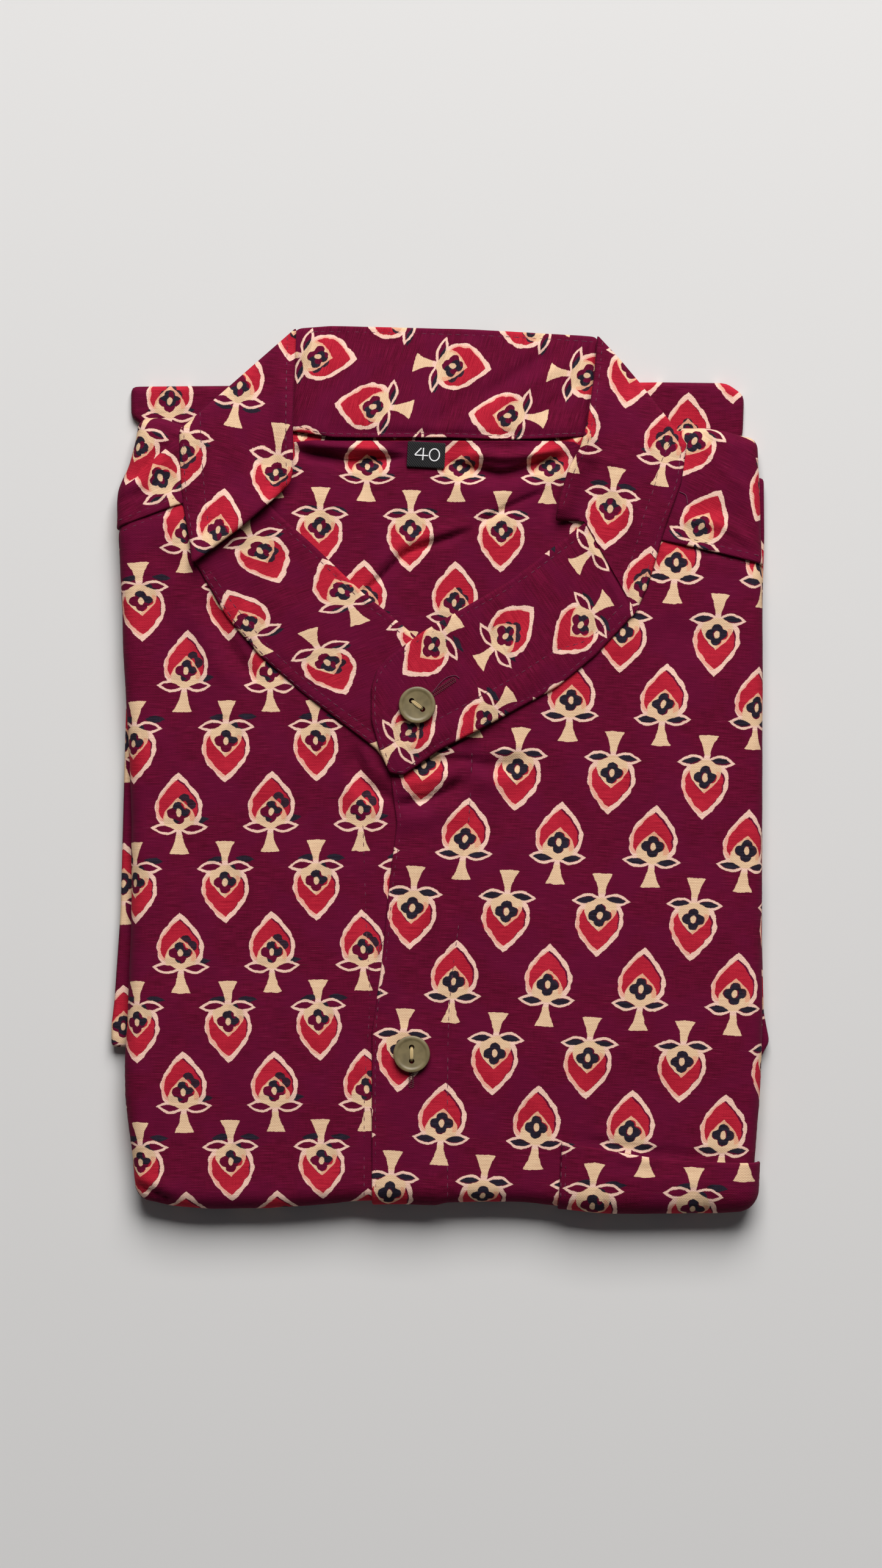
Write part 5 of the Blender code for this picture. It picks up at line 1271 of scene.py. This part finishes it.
def collar():
    """The stand collar's one long strip: behind the neck, folded over down each side, and along each front."""
    outline = list(NECK_SEAM) + [(NECK_SEAM[-1][0], NECK_SEAM[-1][1] + BAND_FOLD_TUCK)]
    outline += moved_sideways(BAND_FOLD_RIGHT, BAND_FOLD_TUCK)[1:-1] + list(BAND_BACK_TOP) + [BAND_BACK_CORNER]
    inner_left, inner_right = through(BAND_INNER_LEFT, 2.0), through(BAND_INNER_RIGHT[:6], 2.0)

    def sunk_at_ends(places):
        bumpy_hem = 0.5 * noise(places * (1.0, 0.3), 3.4, 31) * smooth(149.0, 153.0, places[:, 1])
        return bumpy_hem - beside_strips(places, 1.9, 7.0)

    cloth_cut(Cut("collar_back", outline, band_points, sunk_at_ends, 1.2, 1.6, 0.3, 1.3, 2), ["collar_back"])

    seam = moved_sideways(NECKLINE_LEFT, -BAND_OVERHANG)
    foot_y = BAND_FOOT_LEFT[0][1]
    outline = list(BAND_FOLD_LEFT) + [p for p in seam if foot_y + 3.0 < p[1] < BAND_FOLD_LEFT[1][1]]
    outline += list(BAND_FOOT_LEFT) + list(BAND_INNER_LEFT)
    foot = through(BAND_FOOT_LEFT, 2.0)

    def curled(places, line):
        near = 1.0 - smooth(0.0, NECK_EDGE_REACH, beside(places, line)[0])
        return NECK_EDGE_CURL * near * (1.0 - smooth(*NECK_EDGE_END, places[:, 1]))

    def buckled(places):
        below_foot = beside(places, foot)[0]
        rise = BAND_TOP * (1.0 - smooth(*SIDE_RISE, below_foot)) + FOOT_CURL * (1.0 - smooth(0.0, 7.0, below_foot))
        return BAND_TOP + np.maximum(rise, curled(places, inner_left))

    cloth_cut(Cut("collar_side_left", outline, band_points, buckled, 1.6, 2.6, 0.3, 1.2, 2),
              ["collar_side_left"])
    outline = ([(-60.6, 93.4), (-84.0, 79.0), SLANT_START] + [p for p in seam if p[1] < SLANT_START[1] - 2.0]
               + list(SLANT_END) + list(SLANT_UPPER_LEFT))
    cloth_cut(Cut("collar_slant_left", outline, band_points, BAND_TOP, 1.6, 1.2, 0.3, 1.3, 2),
              ["collar_slant_left"])

    seam = moved_sideways(NECKLINE_RIGHT, BAND_OVERHANG)
    mitre_top, mitre_foot = BAND_MITRE_RIGHT
    tab_seam = [p for p in seam if p[1] < mitre_foot[1] - 2.0][:-1]
    outline = [mitre_top] + list(TAB_UPPER) + list(TAB_END) + tab_seam[::-1] + [mitre_foot]

    def lapped(places):
        return BAND_TOP + BAND_TOP * (1.0 - smooth(*TAB_RISE, places[:, 0]))

    cloth_cut(Cut("collar_tab", outline, band_points, lapped, 1.6, 1.2, 0.3, 1.3, 1, (BAND_MITRE_RIGHT,)),
              ["collar_tab"])
    side_seam = [p for p in seam if mitre_foot[1] + 2.0 < p[1] < BAND_FOLD_RIGHT[0][1] - 2.0]
    outline = (list(BAND_INNER_RIGHT) + [mitre_top, mitre_foot] + side_seam[::-1] + list(BAND_FOLD_RIGHT))

    def raised(places):
        return BAND_TOP + curled(places, inner_right)

    cloth_cut(Cut("collar_side_right", outline, band_points, raised, 1.6, 1.4, 0.3, 1.2, 1, (BAND_MITRE_RIGHT,)),
              ["collar_side_right"])


def placket_and_pocket():
    """The placket, which is the right front's own folded edge, and the patch pocket."""
    left_x, right_x = PLACKET_FOOT_X
    foot_left, foot_right = hem_place("bottom", left_x), hem_place("bottom", right_x)
    outline = list(PLACKET_LEFT) + hem_run(foot_left, foot_right) + list(PLACKET_RIGHT) + list(PLACKET_TOP)
    right_edge = np.array([foot_right] + list(PLACKET_RIGHT), float)

    def eased(places):
        return 1.25 - 1.1 * (1.0 - smooth(0.0, 6.0, beside(places, right_edge)[0]))

    cloth_cut(Cut("placket", outline, cloth_points, eased, 0.95, 0.9, 0.25, 1.4, 1), ["placket"])
    foot = hem_place("bottom", POCKET_FOOT_X)
    outline = hem_run(foot, hem_place("right", POCKET_SIDE_Y)) + list(POCKET_TOP)
    cloth_cut(Cut("pocket", outline, cloth_points, 1.4, 0.9, 0.7, 0.25, 1.4, 1), ["pocket"])


def baked(source, name):
    """A plain mesh object from one whose modifiers or curve make its form, and that one is removed."""
    bpy.context.view_layer.update()
    depsgraph = bpy.context.evaluated_depsgraph_get()
    mesh = bpy.data.meshes.new_from_object(source.evaluated_get(depsgraph), depsgraph=depsgraph)
    bpy.data.objects.remove(source)
    mesh.name = name
    made = bpy.data.objects.new(name, mesh)
    bpy.context.scene.collection.objects.link(made)
    return made


def thread_tube(name, lines, radius, material):
    """Round thread along lines of points, in millimetres."""
    curve = bpy.data.curves.new(name, "CURVE")
    curve.dimensions = "3D"
    curve.bevel_depth = radius * MM
    curve.bevel_resolution = 2
    curve.use_fill_caps = True
    curve.materials.append(material)
    for points in lines:
        spline = curve.splines.new("POLY")
        spline.points.add(len(points) - 1)
        spline.points.foreach_set("co", np.column_stack([np.array(points) * MM, np.ones(len(points))]).ravel())
    source = bpy.data.objects.new(name + "_line", curve)
    bpy.context.scene.collection.objects.link(source)
    made = baked(source, name)
    made.data.shade_smooth()
    return record_piece(made, [])


def twill():
    """Black woven polyester twill, as neck labels are cut from."""
    # Dull black with a slanting rib, its grooves darkened by painted shade and its crests lightened by painted
    # highlight, so that the tab looks woven and its number stitched
    material = plain_material("label twill", linear("0b0b0d"), 0.7, sheen=0.1)
    tree = material.node_tree
    place = add(tree, "ShaderNodeTexCoord").outputs["Object"]
    axes = add(tree, "ShaderNodeSeparateXYZ", {0: place}).outputs
    slant = calc(tree, "ADD", axes[0], calc(tree, "MULTIPLY", axes[1], 0.8))
    rib = calc(tree, "SINE", calc(tree, "MULTIPLY", slant, math.tau / 0.0008))
    shader = tree.nodes["Principled BSDF"]
    bump = add(tree, "ShaderNodeBump", {"Height": rib, "Strength": 0.8, "Distance": 0.00015})
    tree.links.new(bump.outputs[0], shader.inputs["Normal"])
    # Painted shade and highlight: the rib's grooves are coloured darker and its crests lighter, in step with its bump
    tone = blend(tree, ease(tree, rib, -0.6, 0.9), linear("060607"), linear("1a1a1e"))
    tree.links.new(tone, shader.inputs["Base Color"])
    return material


def neck_label():
    """The label's black tab, and its plain size number in white thread."""
    def turned(points):
        x, y = np.array(points, float).T
        cos, sin = math.cos(LABEL_TURN), math.sin(LABEL_TURN)
        return np.stack([LABEL_CENTRE[0] + x * cos - y * sin, LABEL_CENTRE[1] + x * sin + y * cos], axis=1)

    half_x, half_y = LABEL_SIZE[0] / 2, LABEL_SIZE[1] / 2
    corners = turned([(-half_x, -half_y), (half_x, -half_y), (half_x, half_y), (-half_x, half_y)])
    outline = [tuple(p) for p in corners]
    cloth_cut(Cut("neck_label", outline, cloth_points, 1.3, 0.9, 0.5, 0.4, 0.7, 1), ["neck_label"], twill())
    round_figure = [(2.9 + 1.75 * math.cos(a), 0.1 + 2.1 * math.sin(a)) for a in np.linspace(0.0, math.tau, 33)]
    strokes = (
        ((-1.7, 2.3), (-3.9, -0.1), (-3.7, -0.3), (0.7, -0.3)),
        ((-1.0, 2.4), (-1.1, -1.9)),
        round_figure,
    )
    lines = []
    for stroke in strokes:
        points = on_cut("neck_label", turned(through_straight(stroke, 0.2)), 0.12)
        lines.append(points)
    # White polyester: the brightest small thing in the picture, a little glossy
    white = plain_material("white thread", linear("e9e9ea"), 0.6, sheen=0.2)
    thread_tube("label_number", lines, 0.24, white)


def through_straight(points, pitch):
    """A line cut at an even pitch, with its corners kept."""
    cut = [np.array(points[0], float)]
    for start, end in zip(np.array(points, float), np.array(points[1:], float)):
        count = max(1, round(float(np.hypot(*(end - start))) / pitch))
        cut += [start + (end - start) * k / count for k in range(1, count + 1)]
    return np.array(cut)


def horn():
    """Satin corozo nut, dyed olive tan, as flat shirt buttons are cut from."""
    # A satin highlight on a cloudy olive tan tells the nut from plastic
    look = bpy.context.scene.kurta
    material = plain_material("corozo button", toned(look.button_colour, (1.0, 1.0, 1.0)), 0.42, specular=0.5)
    tree = material.node_tree
    place = add(tree, "ShaderNodeTexCoord").outputs["Object"]
    cloud = add(tree, "ShaderNodeTexNoise", {"Vector": place, "Scale": 260.0, "Detail": 4.0}).outputs[0]
    tone = blend(tree, ease(tree, cloud, 0.3, 0.7), toned(look.button_colour, (0.69, 0.69, 0.69)),
                 toned(look.button_colour, (1.0, 1.0, 1.0)))
    tree.links.new(tone, tree.nodes["Principled BSDF"].inputs["Base Color"])
    return material


def button(name, centre, seat, turn):
    """A flat two-hole button, turned from its profile, and the thread that holds it."""
    r, top = BUTTON_RADIUS, bpy.context.scene.kurta.button_thickness / MM
    profile = ((0.0, top - 0.3), (r - 1.9, top - 0.3), (r - 1.5, top - 0.24), (r - 1.15, top - 0.04),
               (r - 0.9, top), (r - 0.45, top), (r - 0.16, top - 0.12), (r, top - 0.45), (r, 0.8), (r - 0.3, 0.35),
               (r - 1.2, 0.0), (0.0, 0.0))
    mesh = bpy.data.meshes.new(name)
    mesh.from_pydata([(x * MM, 0.0, z * MM) for x, z in profile], [(k, k + 1) for k in range(len(profile) - 1)], [])
    disc = bpy.data.objects.new(name + "_profile", mesh)
    disc.location = (centre[0] * MM, centre[1] * MM, seat * MM)
    bpy.context.scene.collection.objects.link(disc)
    screw = disc.modifiers.new("turn", "SCREW")
    screw.steps = screw.render_steps = 72
    screw.use_merge_vertices = True
    screw.merge_threshold = 0.00001
    mesh.materials.append(horn())
    cutters = []
    holes = []
    for sign in (-1, 1):
        reach = sign * HOLE_SPACING / 2
        x, y = centre[0] + math.cos(turn) * reach, centre[1] + math.sin(turn) * reach
        holes.append((x, y))
        angles = np.linspace(0.0, math.tau, 25)[:-1]
        ring = [((x + HOLE_RADIUS * math.cos(a)) * MM, (y + HOLE_RADIUS * math.sin(a)) * MM) for a in angles]
        points = [(px, py, (seat - 3.0) * MM) for px, py in ring] + [(px, py, (seat + 6.0) * MM) for px, py in ring]
        sides = [(k, (k + 1) % 24, 24 + (k + 1) % 24, 24 + k) for k in range(24)]
        cutter_mesh = bpy.data.meshes.new(name + "_hole")
        cutter_mesh.from_pydata(points, [], sides + [tuple(range(24))[::-1], tuple(range(24, 48))])
        cutter = bpy.data.objects.new(name + "_hole", cutter_mesh)
        bpy.context.scene.collection.objects.link(cutter)
        cut = disc.modifiers.new("hole", "BOOLEAN")
        cut.operation = "DIFFERENCE"
        cut.object = cutter
        cutters.append(cutter)
    made = baked(disc, name + "_disc")
    for cutter in cutters:
        bpy.data.objects.remove(cutter)
    made.data.transform(Matrix.Translation((centre[0] * MM, centre[1] * MM, seat * MM)))
    made.data.shade_smooth()
    made.data.set_sharp_from_angle(angle=math.radians(40.0))
    record_piece(made, [name])

    (x0, y0), (x1, y1) = holes
    side_x, side_y = -math.sin(turn), math.cos(turn)
    strands = []
    for k, offset in enumerate((-0.42, -0.12, 0.18, 0.45)):
        t = np.linspace(0.0, 1.0, 15)
        bow = np.sin(math.pi * t)
        across = offset * (0.55 + 0.45 * bow)
        height = seat + top - 0.35 - 1.3 * (1.0 - smooth(0.0, 0.16, t) * smooth(0.0, 0.16, 1.0 - t)) + 0.3 * bow
        height += 0.08 * (k % 2)
        strands.append(np.stack([x0 + (x1 - x0) * t + side_x * across, y0 + (y1 - y0) * t + side_y * across,
                                 height], axis=1))
    # Pale gold cotton thread: a light mark in each button's middle
    gold = plain_material("pale button thread", linear("c4ab78"), 0.6, sheen=0.3)
    thread_tube(name + "_thread", strands, 0.2, gold)


def buttons():
    """Both buttons, one on the collar's tab and one on the placket."""
    for name, cut, centre, turn in (("button_upper", "collar_tab", UPPER_BUTTON, UPPER_HOLES_TURN),
                                    ("button_lower", "placket", LOWER_BUTTON, LOWER_HOLES_TURN)):
        seat = float(on_cut(cut, [centre], 0.0)[0, 2]) + BUTTON_SEAT
        button(name, centre, seat, turn)


def stitch_tree():
    """A Geometry Nodes tree that lays short threads end to end along the lines that it is given."""
    tree = bpy.data.node_groups.new("sewing thread", "GeometryNodeTree")
    tree.interface.new_socket("Lines", in_out="INPUT", socket_type="NodeSocketGeometry")
    for name, value in (("Step", 0.003), ("Stitch Length", 0.0023), ("Thread Radius", 0.00016)):
        socket = tree.interface.new_socket(name, in_out="INPUT", socket_type="NodeSocketFloat")
        socket.subtype = "DISTANCE"
        socket.default_value = value
    tree.interface.new_socket("Seed", in_out="INPUT", socket_type="NodeSocketInt")
    tree.interface.new_socket("Thread", in_out="INPUT", socket_type="NodeSocketMaterial")
    tree.interface.new_socket("Stitches", in_out="OUTPUT", socket_type="NodeSocketGeometry")
    given = add(tree, "NodeGroupInput").outputs
    curve = add(tree, "GeometryNodeMeshToCurve", {"Mesh": given["Lines"]}).outputs[0]
    even = add(tree, "GeometryNodeResampleCurve", {"Curve": curve, "Length": given["Step"]}, mode="LENGTH")
    tangent = add(tree, "GeometryNodeInputTangent").outputs[0]
    turn = add(tree, "FunctionNodeAlignRotationToVector", {"Vector": tangent}, axis="X").outputs[0]
    stitch = add(tree, "GeometryNodeMeshIcoSphere", {"Radius": 1.0, "Subdivisions": 1}).outputs[0]
    half = calc(tree, "MULTIPLY", given["Stitch Length"], 0.5)
    size = add(tree, "ShaderNodeCombineXYZ", {"X": half, "Y": given["Thread Radius"], "Z": given["Thread Radius"]})
    uneven = add(tree, "FunctionNodeRandomValue", {0: (0.8, 0.85, 0.7), 1: (1.12, 1.15, 1.2), "Seed": given["Seed"]},
                 data_type="FLOAT_VECTOR").outputs[0]
    scaled = add(tree, "ShaderNodeVectorMath", {0: size.outputs[0], 1: uneven}, operation="MULTIPLY").outputs[0]
    placed = add(tree, "GeometryNodeInstanceOnPoints",
                 {"Points": even.outputs[0], "Instance": stitch, "Rotation": turn, "Scale": scaled}).outputs[0]
    real = add(tree, "GeometryNodeRealizeInstances", {0: placed}).outputs[0]
    round_faces = add(tree, "GeometryNodeSetShadeSmooth", {0: real}).outputs[0]
    named = add(tree, "GeometryNodeSetMaterial", {"Geometry": round_faces, "Material": given["Thread"]})
    add(tree, "NodeGroupOutput", {"Stitches": named.outputs[0]})
    return tree


def sewing_rows():
    """Every row of machine stitches, set by one Geometry Nodes tree along the sewing lines."""
    settings = bpy.context.scene.kurta
    tree = bpy.data.node_groups.get("sewing thread") or stitch_tree()
    thread = sewing_thread()
    for order, name in enumerate(key for key in SEWING if SEWING[key]):
        points, edges = [], []
        for line in SEWING[name]:
            row = on_cut(name, through(line, 1.2), 0.06)
            edges += [(len(points) + k, len(points) + k + 1) for k in range(len(row) - 1)]
            points += row.tolist()
        mesh = bpy.data.meshes.new("stitches_" + name + "_lines")
        mesh.from_pydata((np.array(points) * MM).tolist(), edges, [])
        source = bpy.data.objects.new("stitches_" + name + "_lines", mesh)
        bpy.context.scene.collection.objects.link(source)
        modifier = source.modifiers.new("sewing", "NODES")
        modifier.node_group = tree
        wanted = {"Step": settings.stitch_step, "Stitch Length": settings.stitch_step * 0.8,
                  "Seed": settings.seed + order, "Thread": thread}
        for item in tree.interface.items_tree:
            if item.in_out == "INPUT" and item.name in wanted:
                modifier[item.identifier] = wanted[item.name]
        record_piece(baked(source, "stitches_" + name), [])


def buttonhole(name, cut, start, end, half_width):
    """A slit's dense zigzag of thread down both its sides."""
    start, end = np.array(start, float), np.array(end, float)
    run = (end - start) / np.hypot(*(end - start))
    side = np.array([-run[1], run[0]])
    count = int(np.hypot(*(end - start)) / 0.34)
    lines = []
    for sign in (-1, 1):
        zigzag = []
        for k in range(count + 1):
            at = start + run * 0.34 * k
            zigzag.append(at + side * sign * (0.12 if k % 2 else half_width))
        lines.append(on_cut(cut, np.array(zigzag), 0.14))
    # Darker and redder than the cloth, so that the buttonhole reads as a worked slit
    red = plain_material("buttonhole thread", linear("5e1024"), 0.6, sheen=0.3)
    thread_tube(name, lines, 0.17, red)


def threads():
    """The two buttonholes, and the thread ends that were left long."""
    buttonhole("buttonhole_upper", "collar_tab", (-8.1, 22.3), (5.2, 31.4), 0.95)
    buttonhole("buttonhole_lower", "placket", (-10.0, -99.0), (-10.2, -111.0), 0.9)
    ends = (
        ("collar_tab", ((-2.6, 26.9), (1.2, 31.2), (4.8, 32.6), (6.6, 31.6))),
        ("yoke_right", ((83.4, 96.8), (85.6, 95.6), (86.2, 92.6))),
        ("placket", ((-19.8, -60.0), (-21.6, -62.0), (-21.2, -64.6))),
    )
    lines = [on_cut(cut, through(line, 0.6), 0.25) for cut, line in ends]
    thread_tube("loose_threads", lines, 0.13, sewing_thread())


# The picture: a camera straight above, and soft daylight from the collar's side
CAMERA_PLACE = (0.0002, -0.0052, 2.2)
CAMERA_LENS = 144.0


def lamp(name, place, width, depth, energy, colour, target=(0.0, 0.0, 0.0)):
    data = bpy.data.lights.new(name, "AREA")
    data.shape = "RECTANGLE"
    data.size = width
    data.size_y = depth
    data.energy = energy
    data.color = colour
    made = bpy.data.objects.new(name, data)
    made.location = place
    aim = Vector(target) - Vector(place)
    made.rotation_euler = aim.to_track_quat("-Z", "Y").to_euler()
    bpy.context.scene.collection.objects.link(made)


def studio():
    """A plain pale floor, soft light and the photo's camera."""
    scene = bpy.context.scene
    mesh = bpy.data.meshes.new("floor")
    far = 3.0
    mesh.from_pydata([(-far, -far, 0), (far, -far, 0), (far, far, 0), (-far, far, 0)], [], [(0, 1, 2, 3)])
    # A plain matt near-white, which keeps the packet's shadow soft and its colours true
    floor_colour = toned(scene.kurta.floor_colour, (1.0, 1.0, 1.0))
    mesh.materials.append(plain_material("pale floor", floor_colour, 0.9, specular=0.2))
    floor = bpy.data.objects.new("floor", mesh)
    floor.location.z = -0.0002
    scene.collection.objects.link(floor)
    lamp("window", (0.25, 1.85, 1.85), 1.8, 1.7, 100.0, (1.0, 0.99, 0.98))
    lamp("fill", (0.4, -0.6, 1.3), 1.6, 1.6, 0.4, (0.96, 0.98, 1.0))
    world = bpy.data.worlds.new("studio")
    world.use_nodes = True
    world.node_tree.nodes["Background"].inputs["Color"].default_value = (0.92, 0.95, 1.0, 1.0)
    world.node_tree.nodes["Background"].inputs["Strength"].default_value = 0.045
    scene.world = world
    data = bpy.data.cameras.new("camera")
    data.sensor_fit = "VERTICAL"
    data.sensor_height = 36.0
    data.lens = CAMERA_LENS
    camera = bpy.data.objects.new("camera", data)
    camera.location = CAMERA_PLACE
    scene.collection.objects.link(camera)
    scene.camera = camera
    scene.view_settings.view_transform = "Standard"


def colour_setting(name, description, hex_code):
    """A colour in the sidebar, whose default was read off the photo."""
    return bpy.props.FloatVectorProperty(name=name, description=description, default=linear(hex_code)[:3], size=3,
                                         min=0.0, max=1.0, subtype="COLOR")


class KurtaSettings(bpy.types.PropertyGroup):
    """What the sidebar sets for the whole garment."""

    ground_colour: colour_setting("Ground", "The cloth's burgundy ground, where it is lightest", "710d32")
    cream_colour: colour_setting("Cream", "The undyed outlines, leaves and stems of the motifs", "fbd3c1")
    red_colour: colour_setting("Red", "The red block, where it took best", "c82a3d")
    indigo_colour: colour_setting("Indigo", "The dark block of lobes and leaf middles", "2b2c3a")
    button_colour: colour_setting("Buttons", "The buttons' lighter clouds", "807250")
    thread_colour: colour_setting("Thread", "The sewing thread", "5e1538")
    floor_colour: colour_setting("Floor", "The plain floor in the picture", "dbdad9")
    button_thickness: bpy.props.FloatProperty(
        name="Button thickness", description="How thick each button is at its rim", default=BUTTON_THICK * MM,
        min=0.0015, max=0.004, unit="LENGTH", subtype="DISTANCE")
    crease_strength: bpy.props.FloatProperty(
        name="Crease strength", description="How far the creases and swells stand, as a share of the photo's",
        default=1.0, min=0.0, max=1.5, subtype="FACTOR")
    stitch_step: bpy.props.FloatProperty(
        name="Stitch step", description="The distance from one stitch to the next", default=0.0029, min=0.001,
        max=0.006, unit="LENGTH", subtype="DISTANCE")
    seed: bpy.props.IntProperty(name="Seed", description="Which uneven stitches are drawn", default=7, min=0)


class PieceOperator:
    """What every operator here shares: it builds its pieces and reports that it did."""

    bl_options = {"REGISTER", "UNDO"}
    build = None

    def execute(self, context):
        type(self).build()
        return {"FINISHED"}


def operator(idname, label, text, build):
    """An operator class for one piece or group of pieces."""
    words = {"bl_idname": "kurta." + idname, "bl_label": label, "__doc__": text, "build": staticmethod(build)}
    return type("KURTA_OT_" + idname, (PieceOperator, bpy.types.Operator), words)


OPERATORS = (
    operator("hidden_layers", "Hidden layers", "The folded layers under the fronts", hidden_layers),
    operator("folded_under", "Tail and sleeves", "The tail and sleeves, folded behind", folded_under),
    operator("fronts", "Fronts", "The two front panels with their rolled folds", fronts),
    operator("yokes", "Yokes", "The two shoulder yokes", yokes),
    operator("back", "Back", "The back's inner face in the neck opening", back),
    operator("collar", "Collar", "The stand collar's five stretches", collar),
    operator("placket_and_pocket", "Placket and pocket", "The placket and the patch pocket", placket_and_pocket),
    operator("neck_label", "Neck label", "The neck label and its number", neck_label),
    operator("buttons", "Buttons", "Both buttons with their thread", buttons),
    operator("sewing_rows", "Sewing", "Every row of machine stitches", sewing_rows),
    operator("threads", "Threads", "Buttonholes and loose thread ends", threads),
    operator("studio", "Studio", "The floor, light and camera", studio),
)


class KURTA_PT_panel(bpy.types.Panel):
    """Lists the garment's settings and pieces."""

    bl_label = "Folded kurta tunic"
    bl_idname = "KURTA_PT_panel"
    bl_space_type = "VIEW_3D"
    bl_region_type = "UI"
    bl_category = "Kurta"

    def draw(self, context):
        settings = context.scene.kurta
        for name in KurtaSettings.__annotations__:
            self.layout.prop(settings, name)
        for made in OPERATORS:
            self.layout.operator(made.bl_idname)


def register():
    for made in (KurtaSettings, *OPERATORS, KURTA_PT_panel):
        bpy.utils.register_class(made)
    bpy.types.Scene.kurta = bpy.props.PointerProperty(type=KurtaSettings)


def unregister():
    del bpy.types.Scene.kurta
    for made in (KURTA_PT_panel, *reversed(OPERATORS), KurtaSettings):
        bpy.utils.unregister_class(made)


def main():
    register()
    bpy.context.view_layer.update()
    for made in OPERATORS:
        getattr(bpy.ops.kurta, made.bl_idname.split(".")[1])()


if __name__ == "__main__":
    main()
